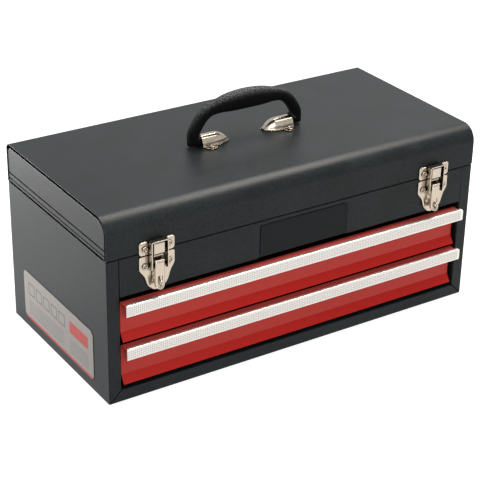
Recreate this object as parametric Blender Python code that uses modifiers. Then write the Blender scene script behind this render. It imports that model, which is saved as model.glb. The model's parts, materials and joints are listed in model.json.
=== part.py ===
"""Two-drawer sheet-metal tool box: a folded case with a till under a hinged lid.

Units are metres, +Z is up and the drawers open towards -Y.
The origin is the middle of the underside, on the surface that the box stands on.
"""

from math import atan2, ceil, cos, pi, radians, sin, sqrt, tan

import bmesh
import bpy
from mathutils import Matrix, Vector

MM = 0.001

# Overall sizes
WIDTH = 510 * MM
DEPTH = 246 * MM
CASE_HEIGHT = 180 * MM
LID_HEIGHT = 50 * MM

# Sheet metal
SHEET = 0.8 * MM
GAP = 0.3 * MM
SEAM_GAP = 0.5 * MM
FOLD_RADIUS = 1.4 * MM
FOLD_STEPS = 3
ARC_FACET = 2.6 * MM
OVERRUN = 2 * MM
MERGE = 0.01 * MM
SHARP_ANGLE = radians(40)

# Case frame
STILE_WIDTH = 15.5 * MM
STILE_RETURN = 8 * MM
RAIL_HEIGHT = 15 * MM
RAIL_LIP = 10 * MM
PAN_BACK_FLANGE = 12 * MM
TILL_HEIGHT = 47 * MM
TILL_TOP_FLANGE = 10 * MM
TILL_BOTTOM_FLANGE = 15 * MM
TILL_FLOOR_FLANGE = 12 * MM

# Recess and blank plate on the till panel
BADGE_WIDTH = 122 * MM
BADGE_HEIGHT = 42 * MM
BADGE_DEPTH = 1.5 * MM
BADGE_SLOPE = 0.8 * MM
BADGE_CENTRE = 4 * MM
PLATE_MARGIN = 1.2 * MM
PLATE_FOOT = 2.4 * MM
PLATE_THICK = 0.6 * MM

# Blank label on the left side
LABEL_LENGTH = 178 * MM
LABEL_HEIGHT = 64 * MM
LABEL_LOW = 13 * MM
LABEL_SHIFT = 2 * MM
LABEL_THICK = 0.25 * MM

# Drawers
DRAWER_NAMES = ("lower", "upper")
DRAWER_UNDER = 6 * MM
DRAWER_BETWEEN = 5 * MM
DRAWER_OVER = 7 * MM
DRAWER_SIDE_GAP = 3.5 * MM
SLIDE_SPACE = 9.5 * MM
FACE_RECESS = 6.5 * MM
FLARE_HEIGHT = 12.5 * MM
FLARE_BEHIND = 0.5 * MM
SHELF_REACH = 7.5 * MM
SHELF_DROP = 1.2 * MM
LIP_DROP = 12 * MM
TRAY_INSET = 6 * MM
TRAY_BACK_SPACE = 32 * MM
TRIM_THICK = 0.9 * MM
TRIM_LEG = 4.2 * MM
TRIM_OVERHANG = 4 * MM
TRIM_RADIUS = 1.6 * MM
RUNNER_HEIGHT = 9 * MM
RUNNER_SLACK = 1.5 * MM
RUNNER_SHEET = 1.0 * MM
CHANNEL_HEIGHT = 14 * MM
CHANNEL_SIDE_GAP = 2 * MM
CHANNEL_START = 11 * MM
CHANNEL_END = 30 * MM
STOP_THICK = 1.2 * MM

# Lid
LID_FRONT_RADIUS = 20 * MM
LID_BACK_RADIUS = 8 * MM
LID_HEM = 7 * MM
LID_END_RECESS = 2.2 * MM
LID_BAND_HEIGHT = 11.5 * MM
LID_BAND_STEP = 1.2 * MM
LID_BAND_SLOPE = 0.6 * MM
LID_GROOVE_HEIGHT = 4.6 * MM
LID_GROOVE_HALF = 0.8 * MM
LID_GROOVE_DEPTH = 0.6 * MM
LID_END_FLANGE = 9 * MM

# Piano hinge
HINGE_INSET = 15 * MM
HINGE_KNUCKLES = 15
HINGE_LEAF = 20 * MM
HINGE_SHEET = 0.9 * MM
HINGE_BORE = 1.8 * MM
HINGE_PIN = 1.5 * MM
HINGE_CURL = radians(300)
HINGE_STEPS = 10
KNUCKLE_GAP = 0.5 * MM

# Draw latches, measured outwards from the front and upwards or downwards from the seam
LATCH_INSET = 62 * MM
LATCH_SHEET = 1.2 * MM
LATCH_HALF = 22.2 * MM
KEEPER_TOP = 14.5 * MM
KEEPER_BELOW = 2 * MM
KEEPER_CORNER = 2.4 * MM
BOSS_HALF = 7.4 * MM
BOSS_TOP = 13.2 * MM
BOSS_BELOW = 1.4 * MM
BOSS_OUT = 7.5 * MM
BASE_TOP = 3.6 * MM
BASE_LENGTH = 43.3 * MM
PIVOT_OUT = 4.6 * MM
PIVOT_DOWN = 10.5 * MM
LINK_PIN_OUT = 3.7 * MM
LINK_PIN_DOWN = 17.5 * MM
LATCH_PIN = 1.1 * MM
EAR_RADIUS = 2.5 * MM
EAR_INNER = 3.2 * MM
EAR_STEPS = 8
LEVER_HALF = 6 * MM
LEVER_FRONT = 8.6 * MM
LEVER_TOP = 8.2 * MM
LEVER_LENGTH = 37.3 * MM
LEVER_FOLD = 1.4 * MM
LEVER_KICK = 3 * MM
SLOT_HALF = 2.5 * MM
SLOT_TOP = 28 * MM
SLOT_LENGTH = 14.3 * MM
STAPLE_HALF = 0.7 * MM
STAPLE_DROP = 4.5 * MM
STAPLE_LENGTH = 8 * MM
STAPLE_OUT = 13 * MM
STAPLE_HOLE = 2.2 * MM
LINK_HALF = 10.75 * MM
LINK_BACK = 2 * MM
LINK_FRONT = 9 * MM
LINK_FOOT = 3 * MM
LINK_OVER = 0.8 * MM
PIN_HEAD = 1.7 * MM
PIN_HEAD_THICK = 0.7 * MM

# Rivets
RIVET_SPREAD = 15.4 * MM
KEEPER_RIVET_UP = 5.8 * MM
BASE_RIVET_DOWN = 15.2 * MM
RIVET_SHANK = 1.5 * MM
RIVET_HEAD = 3.3 * MM
RIVET_DOME = 1.5 * MM
RIVET_TAIL = 2.3 * MM
RIVET_TAIL_THICK = 0.8 * MM
RIVET_SIDES = 12
DOME_STEPS = 4

# Handle
HANDLE_SPAN = 145.6 * MM
HANDLE_RISE = 42 * MM
HANDLE_AXIS_HEIGHT = 8 * MM
GRIP_RADIUS = 11.5 * MM
LEG_RADIUS = 7.2 * MM
FOOT_RADIUS = 7.5 * MM
CORE_RADIUS = 3 * MM
CORE_BEND = 4.5 * MM
CORE_BEND_STEPS = 3
CORE_IN = 18 * MM
GRIP_SIDES = 16
CORE_SIDES = 12
ARCH_STEPS = 3

# Handle brackets
BRACKET_FOOT_GAP = 1.3 * MM
BRACKET_LENGTH = 38.5 * MM
BRACKET_SHEET = 1.1 * MM
BRACKET_HEIGHT = 12.8 * MM
BRACKET_HALF = 9.5 * MM
BRACKET_FLANGE = 2.6 * MM
BRACKET_LUG = 8 * MM
BRACKET_LUG_IN = 9 * MM
BRACKET_LUG_SIDE = 12.5 * MM
BRACKET_RIVET_SIDE = 15.4 * MM
BRACKET_STATIONS = 16
BRACKET_ARCH_STEPS = 10
BACKING_MARGIN = 6 * MM
BACKING_THICK = 1.2 * MM

# Outlines as shares of the sizes they follow
BASE_TAPER_SHARES = (
    (1.0, 0.0), (1.0, 0.365), (0.86, 0.46), (0.72, 0.565), (0.655, 0.68),
    (0.62, 0.77), (0.53, 0.86), (0.38, 0.935), (0.2, 0.985), (0.0, 1.0),
)
LEVER_SHARES = (
    (0.0, 0.0, 0.7), (0.034, 0.0, 0.92), (0.062, 0.0, 1.0), (0.33, 0.0, 1.0),
    (0.53, 0.0, 0.53), (0.84, 0.0, 0.46), (0.92, 0.3, 0.36), (1.0, 1.0, 0.28),
)
ARCH_SHARES = (
    (1.0, 0.0), (0.975, 0.2), (0.92, 0.43), (0.84, 0.66), (0.715, 0.83), (0.54, 0.92), (0.3, 0.975),
)
SWELL_SHARES = (0.0, 0.0, 0.0, 0.03, 0.14, 0.5, 0.88)
BRACKET_STRAIGHT_SHARE = 0.5
BRACKET_TIP_HEIGHT_SHARE = 0.12
BRACKET_TIP_WIDTH_SHARE = 0.2
BRACKET_TIP_FLANGE_SHARE = 0.4

# Places worked out from the sizes above
HALF_WIDTH = WIDTH / 2
FRONT = -DEPTH / 2
BACK = DEPTH / 2
SEAM = CASE_HEIGHT
LID_TOP = CASE_HEIGHT + LID_HEIGHT
LID_LOW = CASE_HEIGHT + SEAM_GAP
OPENING_HALF = HALF_WIDTH - STILE_WIDTH
OPENING_TOP = CASE_HEIGHT - TILL_HEIGHT
FRONT_HEIGHT = (OPENING_TOP - RAIL_HEIGHT - DRAWER_UNDER - DRAWER_BETWEEN - DRAWER_OVER) / 2
DRAWER_PITCH = FRONT_HEIGHT + DRAWER_BETWEEN
DRAWER_HALF = OPENING_HALF - DRAWER_SIDE_GAP
TRAY_HALF = OPENING_HALF - SLIDE_SPACE
TRAY_FRONT = FRONT + FACE_RECESS + SHEET + GAP
TRAY_BACK = BACK - SHEET - TRAY_BACK_SPACE
NOSE = FRONT - SHELF_REACH
CHANNEL_FRONT = FRONT + CHANNEL_START
CHANNEL_BACK = BACK - CHANNEL_END
INNER_SIDE = HALF_WIDTH - SHEET - GAP
INNER_BACK = BACK - SHEET - GAP
BADGE_LEFT = BADGE_CENTRE - BADGE_WIDTH / 2
BADGE_RIGHT = BADGE_CENTRE + BADGE_WIDTH / 2
BADGE_TOP = OPENING_TOP + BADGE_HEIGHT
LATCH_X = HALF_WIDTH - LATCH_INSET
PLATE_OUT = GAP + LATCH_SHEET
LATCH_GRIP = PLATE_OUT + SHEET + GAP * 2
LEVER_BACK = PLATE_OUT + GAP
STAPLE_TOP = SLOT_TOP + STAPLE_DROP
HINGE_LENGTH = WIDTH - HINGE_INSET * 2
HINGE_Y = BACK + GAP + HINGE_SHEET + HINGE_BORE
HINGE_Z = SEAM + SEAM_GAP / 2
HANDLE_Z = LID_TOP + HANDLE_AXIS_HEIGHT
HANDLE_HALF = HANDLE_SPAN / 2
BRACKET_OUTER = HANDLE_HALF - FOOT_RADIUS - BRACKET_FOOT_GAP
LUG_X = BRACKET_OUTER - BRACKET_LUG_IN

SIDES = (("left", -1), ("right", 1))
OUTWARDS = Vector((0, -1, 0))
UPWARDS = Vector((0, 0, 1))

# Colour, roughness and metallic value of each finish
FINISHES = {
    "charcoal": ((0.035, 0.039, 0.041), 0.5, 0.0),
    "red": ((0.42, 0.045, 0.035), 0.4, 0.0),
    "aluminium": ((0.82, 0.83, 0.84), 0.35, 0.8),
    "nickel": ((0.72, 0.66, 0.58), 0.25, 1.0),
    "zinc": ((0.55, 0.56, 0.57), 0.4, 1.0),
    "grip": ((0.016, 0.017, 0.018), 0.7, 0.0),
    "plate": ((0.05, 0.054, 0.056), 0.45, 0.2),
    "paper": ((0.72, 0.68, 0.64), 0.6, 0.0),
}


def clear_scene():
    for old in list(bpy.data.objects):
        bpy.data.objects.remove(old, do_unlink=True)


def new_collection(name):
    collection = bpy.data.collections.new(name)
    bpy.context.scene.collection.children.link(collection)
    return collection


def new_finish(name, colour, roughness, metallic):
    """A plain Principled material."""
    finish = bpy.data.materials.new(name)
    finish.use_nodes = True
    shader = finish.node_tree.nodes["Principled BSDF"]
    shader.inputs["Base Color"].default_value = (*colour, 1)
    shader.inputs["Roughness"].default_value = roughness
    shader.inputs["Metallic"].default_value = metallic
    return finish


class Builder:
    """Holds the collections and the empties on the joint axes."""

    def __init__(self):
        self.parts = new_collection("tool_box")
        self.cutters = new_collection("cutters")
        self.bodies = {}

    def body(self, name, origin, parent=None):
        """An empty on a joint axis, which carries the pieces that move with it."""
        empty = bpy.data.objects.new(name + "_axis", None)
        empty.empty_display_size = STILE_WIDTH
        self.parts.objects.link(empty)
        empty.location = origin
        if parent:
            empty.parent = self.bodies[parent][0]
            empty.location = Vector(origin) - Vector(self.bodies[parent][1])
        self.bodies[name] = (empty, origin)

    def add(self, name, mesh, finish, body, place=None, turn=(0, 0, 0)):
        """Adds a piece: its mesh is in world places, or in local ones if a place is given."""
        mesh.name = name
        mesh.materials.append(new_finish(name, *FINISHES[finish]))
        obj = bpy.data.objects.new(name, mesh)
        self.parts.objects.link(obj)
        empty, origin = self.bodies[body]
        obj.parent = empty
        if place is None:
            mesh.transform(Matrix.Translation(-Vector(origin)))
        else:
            obj.location = Vector(place) - Vector(origin)
            obj.rotation_euler = turn
        return obj

    def combine(self, target, name, mesh, operation="DIFFERENCE"):
        """Cuts, joins or trims a piece with a guide mesh, which stays hidden."""
        guide = bpy.data.objects.new(name, mesh)
        self.cutters.objects.link(guide)
        guide.hide_render = True
        guide.display_type = "WIRE"
        modifier = target.modifiers.new(name, "BOOLEAN")
        modifier.operation = operation
        modifier.object = guide
        modifier.solver = "EXACT"


def thicken(target, thickness, grow):
    """Gives an open sheet its thickness, on the side where most of it looks towards grow."""
    facing = sum(((face.normal * face.area) for face in target.data.polygons), Vector())
    modifier = target.modifiers.new("thickness", "SOLIDIFY")
    modifier.thickness = thickness
    modifier.offset = 1 if facing.dot(Vector(grow)) > 0 else -1
    modifier.use_even_offset = True
    modifier.use_quality_normals = True


def to_mesh(name, bm, smooth=False):
    """Turns a bmesh into a mesh; a smooth one keeps its rims and steep edges sharp."""
    for face in bm.faces:
        face.smooth = smooth
    for edge in bm.edges:
        edge.smooth = edge.calc_face_angle(pi) < SHARP_ANGLE
    mesh = bpy.data.meshes.new(name)
    bm.to_mesh(mesh)
    bm.free()
    return mesh


def rounded(points, radii):
    """A line of 2D points whose inner corners become arcs of the given radii."""
    line = [points[0]]
    for before, corner, after, radius in zip(points, points[1:], points[2:], radii):
        corner = Vector(corner)
        towards = (Vector(before) - corner).normalized()
        away = (Vector(after) - corner).normalized()
        half = towards.angle(away) / 2
        centre = corner + (towards + away).normalized() * (radius / sin(half))
        first = corner + towards * (radius / tan(half)) - centre
        last = corner + away * (radius / tan(half)) - centre
        start = atan2(first.y, first.x)
        sweep = (atan2(last.y, last.x) - start + pi) % (2 * pi) - pi
        steps = max(FOLD_STEPS, ceil(abs(sweep) * radius / ARC_FACET))
        for step in range(steps + 1):
            angle = start + sweep * step / steps
            line.append((centre.x + radius * cos(angle), centre.y + radius * sin(angle)))
    line.append(points[-1])
    return line


def folded(name, profile, span, axis):
    """An open surface: a 2D line drawn out along an axis."""
    place = {
        "X": lambda a, b, along: (along, a, b),
        "Y": lambda a, b, along: (a, along, b),
        "Z": lambda a, b, along: (a, b, along),
    }[axis]
    bm = bmesh.new()
    line = [bm.verts.new(place(a, b, span[0])) for a, b in profile]
    edges = [bm.edges.new(pair) for pair in zip(line, line[1:])]
    grown = bmesh.ops.extrude_edge_only(bm, edges=edges)["geom"]
    moved = [item for item in grown if isinstance(item, bmesh.types.BMVert)]
    bmesh.ops.translate(bm, verts=moved, vec=place(0, 0, span[1] - span[0]))
    bmesh.ops.recalc_face_normals(bm, faces=bm.faces)
    return to_mesh(name, bm)


def lofted(name, rows, keep=lambda row, column: True, smooth=False):
    """An open surface through rows of points; keep says which of its faces stay."""
    bm = bmesh.new()
    net = [[bm.verts.new(point) for point in row] for row in rows]
    for r in range(len(net) - 1):
        for c in range(len(net[r]) - 1):
            if keep(r, c):
                bm.faces.new((net[r][c], net[r][c + 1], net[r + 1][c + 1], net[r + 1][c]))
    loose = [vert for vert in bm.verts if not vert.link_faces]
    bmesh.ops.delete(bm, geom=loose, context="VERTS")
    return to_mesh(name, bm, smooth)


def box(name, corner, opposite, without=()):
    """A box between two opposite corners, without the faces that look in the directions named."""
    bm = bmesh.new()
    bmesh.ops.create_cube(bm, size=1)
    size = [abs(b - a) for a, b in zip(corner, opposite)]
    middle = (Vector(corner) + Vector(opposite)) / 2
    bmesh.ops.scale(bm, verts=bm.verts, vec=size)
    bmesh.ops.translate(bm, verts=bm.verts, vec=middle)
    bm.normal_update()
    left_out = [face for face in bm.faces if any(face.normal.angle(way) < SHARP_ANGLE for way in without)]
    bmesh.ops.delete(bm, geom=left_out, context="FACES_ONLY")
    return to_mesh(name, bm)


def rods(name, ends, radius, sides=RIVET_SIDES):
    """One mesh of round rods, each from one end to the other."""
    bm = bmesh.new()
    for start, stop in ends:
        direction = Vector(stop) - Vector(start)
        turn = UPWARDS.rotation_difference(direction).to_matrix().to_4x4()
        middle = Matrix.Translation((Vector(start) + Vector(stop)) / 2)
        bmesh.ops.create_cone(
            bm,
            cap_ends=True,
            segments=sides,
            radius1=radius,
            radius2=radius,
            depth=direction.length,
            matrix=middle @ turn,
        )
    return to_mesh(name, bm, smooth=True)


def turned(build, name, line, finish, body, place, turn):
    """A turned piece: a line of radius and height, listed from top to bottom."""
    bm = bmesh.new()
    verts = [bm.verts.new((radius, 0, height)) for radius, height in line]
    for pair in zip(verts, verts[1:]):
        bm.edges.new(pair)
    obj = build.add(name, to_mesh(name, bm), finish, body, place, turn)
    screw = obj.modifiers.new("turned", "SCREW")
    screw.axis = "Z"
    screw.steps = RIVET_SIDES
    screw.render_steps = RIVET_SIDES
    screw.use_merge_vertices = True
    screw.merge_threshold = MERGE
    screw.use_smooth_shade = True


def curve_to_mesh(name, curve, matrix, smooth):
    """The mesh of a curve with its caps welded; the curve is removed."""
    holder = bpy.data.objects.new(name + "_curve", curve)
    bpy.context.scene.collection.objects.link(holder)
    graph = bpy.context.evaluated_depsgraph_get()
    made = bpy.data.meshes.new_from_object(holder.evaluated_get(graph))
    bpy.data.objects.remove(holder, do_unlink=True)
    bm = bmesh.new()
    bm.from_mesh(made)
    bmesh.ops.remove_doubles(bm, verts=bm.verts, dist=MERGE)
    bmesh.ops.transform(bm, matrix=matrix, verts=bm.verts)
    bmesh.ops.recalc_face_normals(bm, faces=bm.faces)
    return to_mesh(name, bm, smooth)


def plate(name, outline, thickness, matrix):
    """A flat outline in XY, filled, made thickness deep along +Z and put in its place."""
    curve = bpy.data.curves.new(name, "CURVE")
    curve.dimensions = "2D"
    curve.fill_mode = "BOTH"
    curve.extrude = thickness / 2
    spline = curve.splines.new("POLY")
    spline.points.add(len(outline) - 1)
    for point, (x, y) in zip(spline.points, outline):
        point.co = (x, y, 0, 1)
    spline.use_cyclic_u = True
    lift = Matrix.Translation((0, 0, thickness / 2))
    return curve_to_mesh(name, curve, matrix @ lift, smooth=False)


def tube(name, points, radii, sides):
    """A round tube with closed ends along points, with its own radius at each."""
    curve = bpy.data.curves.new(name, "CURVE")
    curve.dimensions = "3D"
    curve.bevel_depth = 1
    curve.bevel_resolution = sides // 4 - 1
    curve.use_fill_caps = True
    spline = curve.splines.new("POLY")
    spline.points.add(len(points) - 1)
    for point, place, radius in zip(spline.points, points, radii):
        point.co = (*place, 1)
        point.radius = radius
    return curve_to_mesh(name, curve, Matrix.Identity(4), smooth=True)


def smooth_path(points, steps):
    """Points along a Catmull-Rom curve through the given ones."""
    knots = [Vector(point) for point in points]
    knots = [2 * knots[0] - knots[1], *knots, 2 * knots[-1] - knots[-2]]
    path = []
    for a, b, c, d in zip(knots, knots[1:], knots[2:], knots[3:]):
        for step in range(steps):
            t = step / steps
            bend = (2 * a - 5 * b + 4 * c - d) * t**2 + (3 * b - a - 3 * c + d) * t**3
            path.append((2 * b + (c - a) * t + bend) / 2)
    path.append(knots[-2])
    return path


def facing_front(x, y, z):
    """Puts a plate drawn in XY upright: its Y goes up and its Z outwards from the front."""
    return Matrix.Translation((x, y, z)) @ Matrix.Rotation(pi / 2, 4, "X")


def facing_side(x, y, z):
    """Puts a plate upright: its X goes outwards from the front, its Y up, its Z to the right."""
    return Matrix(((0, 0, 1, x), (-1, 0, 0, y), (0, 1, 0, z), (0, 0, 0, 1)))


def mirrored(half):
    """Closed outline from its right half, listed from top to bottom."""
    return half + [(-x, y) for x, y in half[::-1] if x > 0]


def mitre_wedge(name, side, outer, limit, spare):
    """Cutter on one side of the mitre line that climbs inwards at 45 degrees from a bottom corner."""
    inner = OPENING_HALF - OVERRUN
    line = [(x, HALF_WIDTH - x + spare) for x in (outer, inner)]
    outline = [(outer, limit), *line, (inner, limit)]
    depth = max(STILE_RETURN, RAIL_LIP) + OVERRUN * 2
    stand = facing_front(0, FRONT + depth - OVERRUN, 0)
    return plate(name, [(x * side, z) for x, z in outline], depth, stand)


def case_wrap(build):
    """Sides, back and front stiles, folded from one strip."""
    half = [
        (OPENING_HALF, FRONT + STILE_RETURN),
        (OPENING_HALF, FRONT),
        (HALF_WIDTH, FRONT),
        (HALF_WIDTH, BACK),
    ]
    folds = [FOLD_RADIUS] * 6
    plan = rounded([(-x, y) for x, y in half] + half[::-1], folds)
    obj = build.add("case_wrap", folded("case_wrap", plan, (0, SEAM), "Z"), "charcoal", "case")
    thicken(obj, SHEET, OUTWARDS)
    for name, side in SIDES:
        wedge = mitre_wedge("wedge", side, HALF_WIDTH - SHEET, -OVERRUN, GAP / sqrt(2))
        build.combine(obj, "stile_mitre_" + name, wedge)


def bottom_pan(build):
    """Front rail, floor and back flange, folded from one sheet."""
    section = [
        (FRONT + RAIL_LIP, RAIL_HEIGHT),
        (FRONT, RAIL_HEIGHT),
        (FRONT, 0),
        (INNER_BACK, 0),
        (INNER_BACK, PAN_BACK_FLANGE),
    ]
    mesh = folded("bottom_pan", rounded(section, [FOLD_RADIUS] * 3), (-INNER_SIDE, INNER_SIDE), "X")
    obj = build.add("bottom_pan", mesh, "charcoal", "case")
    thicken(obj, SHEET, UPWARDS)
    for name, side in SIDES:
        wedge = mitre_wedge("wedge", side, HALF_WIDTH, RAIL_HEIGHT + OVERRUN, -GAP / sqrt(2))
        build.combine(obj, "rail_mitre_" + name, wedge)


def rivet_places(up):
    """Rivet centres of both latches at one height above the seam."""
    return [
        Vector((side * LATCH_X + step * RIVET_SPREAD, FRONT, SEAM + up))
        for _, side in SIDES
        for _, step in SIDES
    ]


def bracket_rivet_places():
    """Centres of the four lug rivets on top of the lid."""
    return [
        Vector((side * LUG_X, step * BRACKET_RIVET_SIDE, LID_TOP))
        for _, side in SIDES
        for _, step in SIDES
    ]


def rivet_holes(places, direction, reach):
    """Cutter of clearance holes that run to both sides of places."""
    ends = [(place - direction * reach, place + direction * reach) for place in places]
    return rods("holes", ends, RIVET_SHANK + GAP)


def till_front(build):
    """Fixed panel over the drawers, with the pressed recess for a name plate."""
    half = OPENING_HALF - GAP
    top = [(FRONT + TILL_TOP_FLANGE, SEAM), (FRONT, SEAM), (FRONT, BADGE_TOP + BADGE_SLOPE)]
    low = [(FRONT, BADGE_TOP), (FRONT, OPENING_TOP), (FRONT + TILL_BOTTOM_FLANGE, OPENING_TOP)]
    top, low = (rounded(line, [FOLD_RADIUS]) for line in (top, low))
    columns = [-half, BADGE_LEFT - BADGE_SLOPE, BADGE_LEFT, BADGE_RIGHT, BADGE_RIGHT + BADGE_SLOPE, half]
    rows = []
    for x in columns:
        press = BADGE_DEPTH if BADGE_LEFT <= x <= BADGE_RIGHT else 0
        pressed = [(y + press, z) for y, z in low[:-1]] + low[-1:]
        rows.append([(x, y, z) for y, z in top + pressed])
    obj = build.add("till_front", lofted("till_front", rows), "charcoal", "case")
    thicken(obj, SHEET, -OUTWARDS)
    holes = rivet_holes(rivet_places(-BASE_RIVET_DOWN), OUTWARDS, OVERRUN)
    build.combine(obj, "till_front_holes", holes)


def till_floor(build):
    """Floor of the space under the lid, with flanges turned down at the sides and at the back."""
    top = OPENING_TOP + SHEET * 2 + GAP
    corner = (-INNER_SIDE, FRONT + TILL_TOP_FLANGE + GAP, top - TILL_FLOOR_FLANGE)
    mesh = box("till_floor", corner, (INNER_SIDE, INNER_BACK, top), (-UPWARDS, OUTWARDS))
    thicken(build.add("till_floor", mesh, "charcoal", "case"), SHEET, -UPWARDS)


def name_plate(build):
    """Blank plate in the recess."""
    back = FRONT + BADGE_DEPTH - GAP
    corner = (BADGE_LEFT + PLATE_MARGIN, back - PLATE_THICK, OPENING_TOP + PLATE_FOOT)
    opposite = (BADGE_RIGHT - PLATE_MARGIN, back, BADGE_TOP - PLATE_MARGIN)
    build.add("name_plate", box("name_plate", corner, opposite), "plate", "case")


def side_label(build):
    """Paper label on the left side."""
    face = -HALF_WIDTH - GAP
    corner = (face - LABEL_THICK, LABEL_SHIFT - LABEL_LENGTH / 2, LABEL_LOW)
    opposite = (face, LABEL_SHIFT + LABEL_LENGTH / 2, LABEL_LOW + LABEL_HEIGHT)
    build.add("side_label", box("side_label", corner, opposite), "paper", "case")


def drawer_low(label):
    return RAIL_HEIGHT + DRAWER_UNDER + DRAWER_NAMES.index(label) * DRAWER_PITCH


def slide_middle(label):
    return drawer_low(label) + FRONT_HEIGHT / 2


def slide_channels(build, label):
    """C channels on the case sides, each closed by a stop at its back end."""
    top = slide_middle(label) + CHANNEL_HEIGHT / 2
    low = slide_middle(label) - CHANNEL_HEIGHT / 2
    edge = TRAY_HALF + CHANNEL_SIDE_GAP
    inside = SHEET / 2
    for name, side in SIDES:
        section = [(edge, top), (INNER_SIDE, top), (INNER_SIDE, low), (edge, low)]
        mesh = folded("channel", [(x * side, z) for x, z in section], (CHANNEL_FRONT, CHANNEL_BACK), "Y")
        obj = build.add(f"channel_{label}_{name}", mesh, "zinc", "case")
        thicken(obj, SHEET, (-side, 0, 0))
        corner = (side * (edge + SHEET), CHANNEL_BACK - STOP_THICK, low + inside)
        opposite = (side * (INNER_SIDE - inside), CHANNEL_BACK, top - inside)
        build.combine(obj, f"stop_{label}_{name}", box("stop", corner, opposite), "UNION")


def drawer_front(build, label):
    """Flared foot, recessed face, shelf and turned-down lip, folded from one sheet."""
    low = drawer_low(label)
    face = FRONT + FACE_RECESS
    shelf = low + FRONT_HEIGHT - SHEET
    section = [
        (FRONT + FLARE_BEHIND, low),
        (face, low + FLARE_HEIGHT),
        (face, shelf),
        (NOSE + SHEET, shelf - SHELF_DROP),
        (NOSE + SHEET, shelf - SHELF_DROP - LIP_DROP),
    ]
    name = label + "_drawer_front"
    mesh = folded(name, rounded(section, [FOLD_RADIUS] * 3), (-DRAWER_HALF, DRAWER_HALF), "X")
    thicken(build.add(name, mesh, "red", label + "_drawer"), SHEET, -OUTWARDS)


def drawer_trim(build, label):
    """Extruded pull strip that wraps the lip of the drawer front."""
    outer = NOSE - GAP - TRIM_THICK
    inner = outer + TRIM_LEG
    lip_top = drawer_low(label) + FRONT_HEIGHT - SHELF_DROP
    lip_low = lip_top - SHEET - LIP_DROP
    top = lip_top + GAP + TRIM_THICK
    low = lip_low - GAP - TRIM_THICK
    rise = SHELF_DROP * TRIM_LEG / (SHELF_REACH + FACE_RECESS)
    section = [(inner, top + rise), (outer, top), (outer, low), (inner, low)]
    name = label + "_drawer_trim"
    span = (-DRAWER_HALF, DRAWER_HALF + TRIM_OVERHANG)
    mesh = folded(name, rounded(section, [TRIM_RADIUS] * 2), span, "X")
    thicken(build.add(name, mesh, "aluminium", label + "_drawer"), TRIM_THICK, -OUTWARDS)


def drawer_tray(build, label):
    low = drawer_low(label)
    corner = (-TRAY_HALF, TRAY_FRONT, low + TRAY_INSET)
    opposite = (TRAY_HALF, TRAY_BACK, low + FRONT_HEIGHT - TRAY_INSET)
    name = label + "_drawer_tray"
    mesh = box(name, corner, opposite, (UPWARDS,))
    thicken(build.add(name, mesh, "charcoal", label + "_drawer"), SHEET, UPWARDS)


def drawer_runners(build, label):
    """Angle strips on the tray sides that slide in the channels."""
    low = slide_middle(label) - CHANNEL_HEIGHT / 2 + SHEET + GAP
    inner = TRAY_HALF + GAP
    outer = OPENING_HALF - RUNNER_SLACK
    span = (CHANNEL_FRONT + GAP, min(CHANNEL_BACK - STOP_THICK - GAP, TRAY_BACK))
    for name, side in SIDES:
        section = [(inner, low + RUNNER_HEIGHT), (inner, low), (outer, low)]
        mesh = folded("runner", [(x * side, z) for x, z in section], span, "Y")
        obj = build.add(f"{label}_runner_{name}", mesh, "zinc", label + "_drawer")
        thicken(obj, RUNNER_SHEET, UPWARDS)


def lid_section(inset):
    """Section of the lid sheet, moved inwards by inset."""
    low = LID_LOW + inset
    fold = max(FOLD_RADIUS - inset, MERGE)
    section = [
        (FRONT + LID_HEM, low),
        (FRONT + inset, low),
        (FRONT + inset, LID_TOP - inset),
        (BACK - inset, LID_TOP - inset),
        (BACK - inset, low),
        (BACK - LID_HEM, low),
    ]
    return rounded(section, [fold, LID_FRONT_RADIUS - inset, LID_BACK_RADIUS - inset, fold])


def lid_wrap(build):
    """Front, rounded edges, top and back of the lid, from one sheet with a hem at each foot."""
    mesh = folded("lid_wrap", lid_section(0), (-HALF_WIDTH, HALF_WIDTH), "X")
    obj = build.add("lid_wrap", mesh, "charcoal", "lid")
    thicken(obj, SHEET, -UPWARDS)
    holes = rivet_holes(rivet_places(KEEPER_RIVET_UP), OUTWARDS, OVERRUN)
    build.combine(obj, "lid_front_holes", holes)
    build.combine(obj, "lid_top_holes", rivet_holes(bracket_rivet_places(), UPWARDS, OVERRUN))


def lid_end(build, name, side):
    """Recessed end panel with the two pressed lines along its foot."""
    panel = HALF_WIDTH - LID_END_RECESS
    band = panel - LID_BAND_STEP
    groove = LID_LOW + LID_GROOVE_HEIGHT
    section = [
        (panel, LID_TOP),
        (panel, LID_LOW + LID_BAND_HEIGHT),
        (band, LID_LOW + LID_BAND_HEIGHT - LID_BAND_SLOPE),
        (band, groove + LID_GROOVE_HALF),
        (band - LID_GROOVE_DEPTH, groove),
        (band, groove - LID_GROOVE_HALF),
        (band, LID_LOW),
        (band - LID_END_FLANGE, LID_LOW),
    ]
    mesh = folded("lid_end", [(x * side, z) for x, z in section], (FRONT, BACK), "Y")
    obj = build.add("lid_end_" + name, mesh, "charcoal", "lid")
    thicken(obj, SHEET, (-side, 0, 0))
    inner = lid_section(SHEET + GAP)[1:-1]
    front_hem = FRONT + LID_HEM + GAP
    back_hem = BACK - LID_HEM - GAP
    low = inner[0][1]
    outline = [(front_hem, SEAM), (front_hem, low), *inner, (back_hem, low), (back_hem, SEAM)]
    outline = [(-y, z) for y, z in outline]
    depth = LID_END_RECESS + LID_BAND_STEP + LID_GROOVE_DEPTH + LID_END_FLANGE + OVERRUN
    start = HALF_WIDTH - depth if side > 0 else -HALF_WIDTH
    inside = plate("inside", outline, depth, facing_side(start, 0, 0))
    build.combine(obj, "lid_inside_" + name, inside, "INTERSECT")


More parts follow.
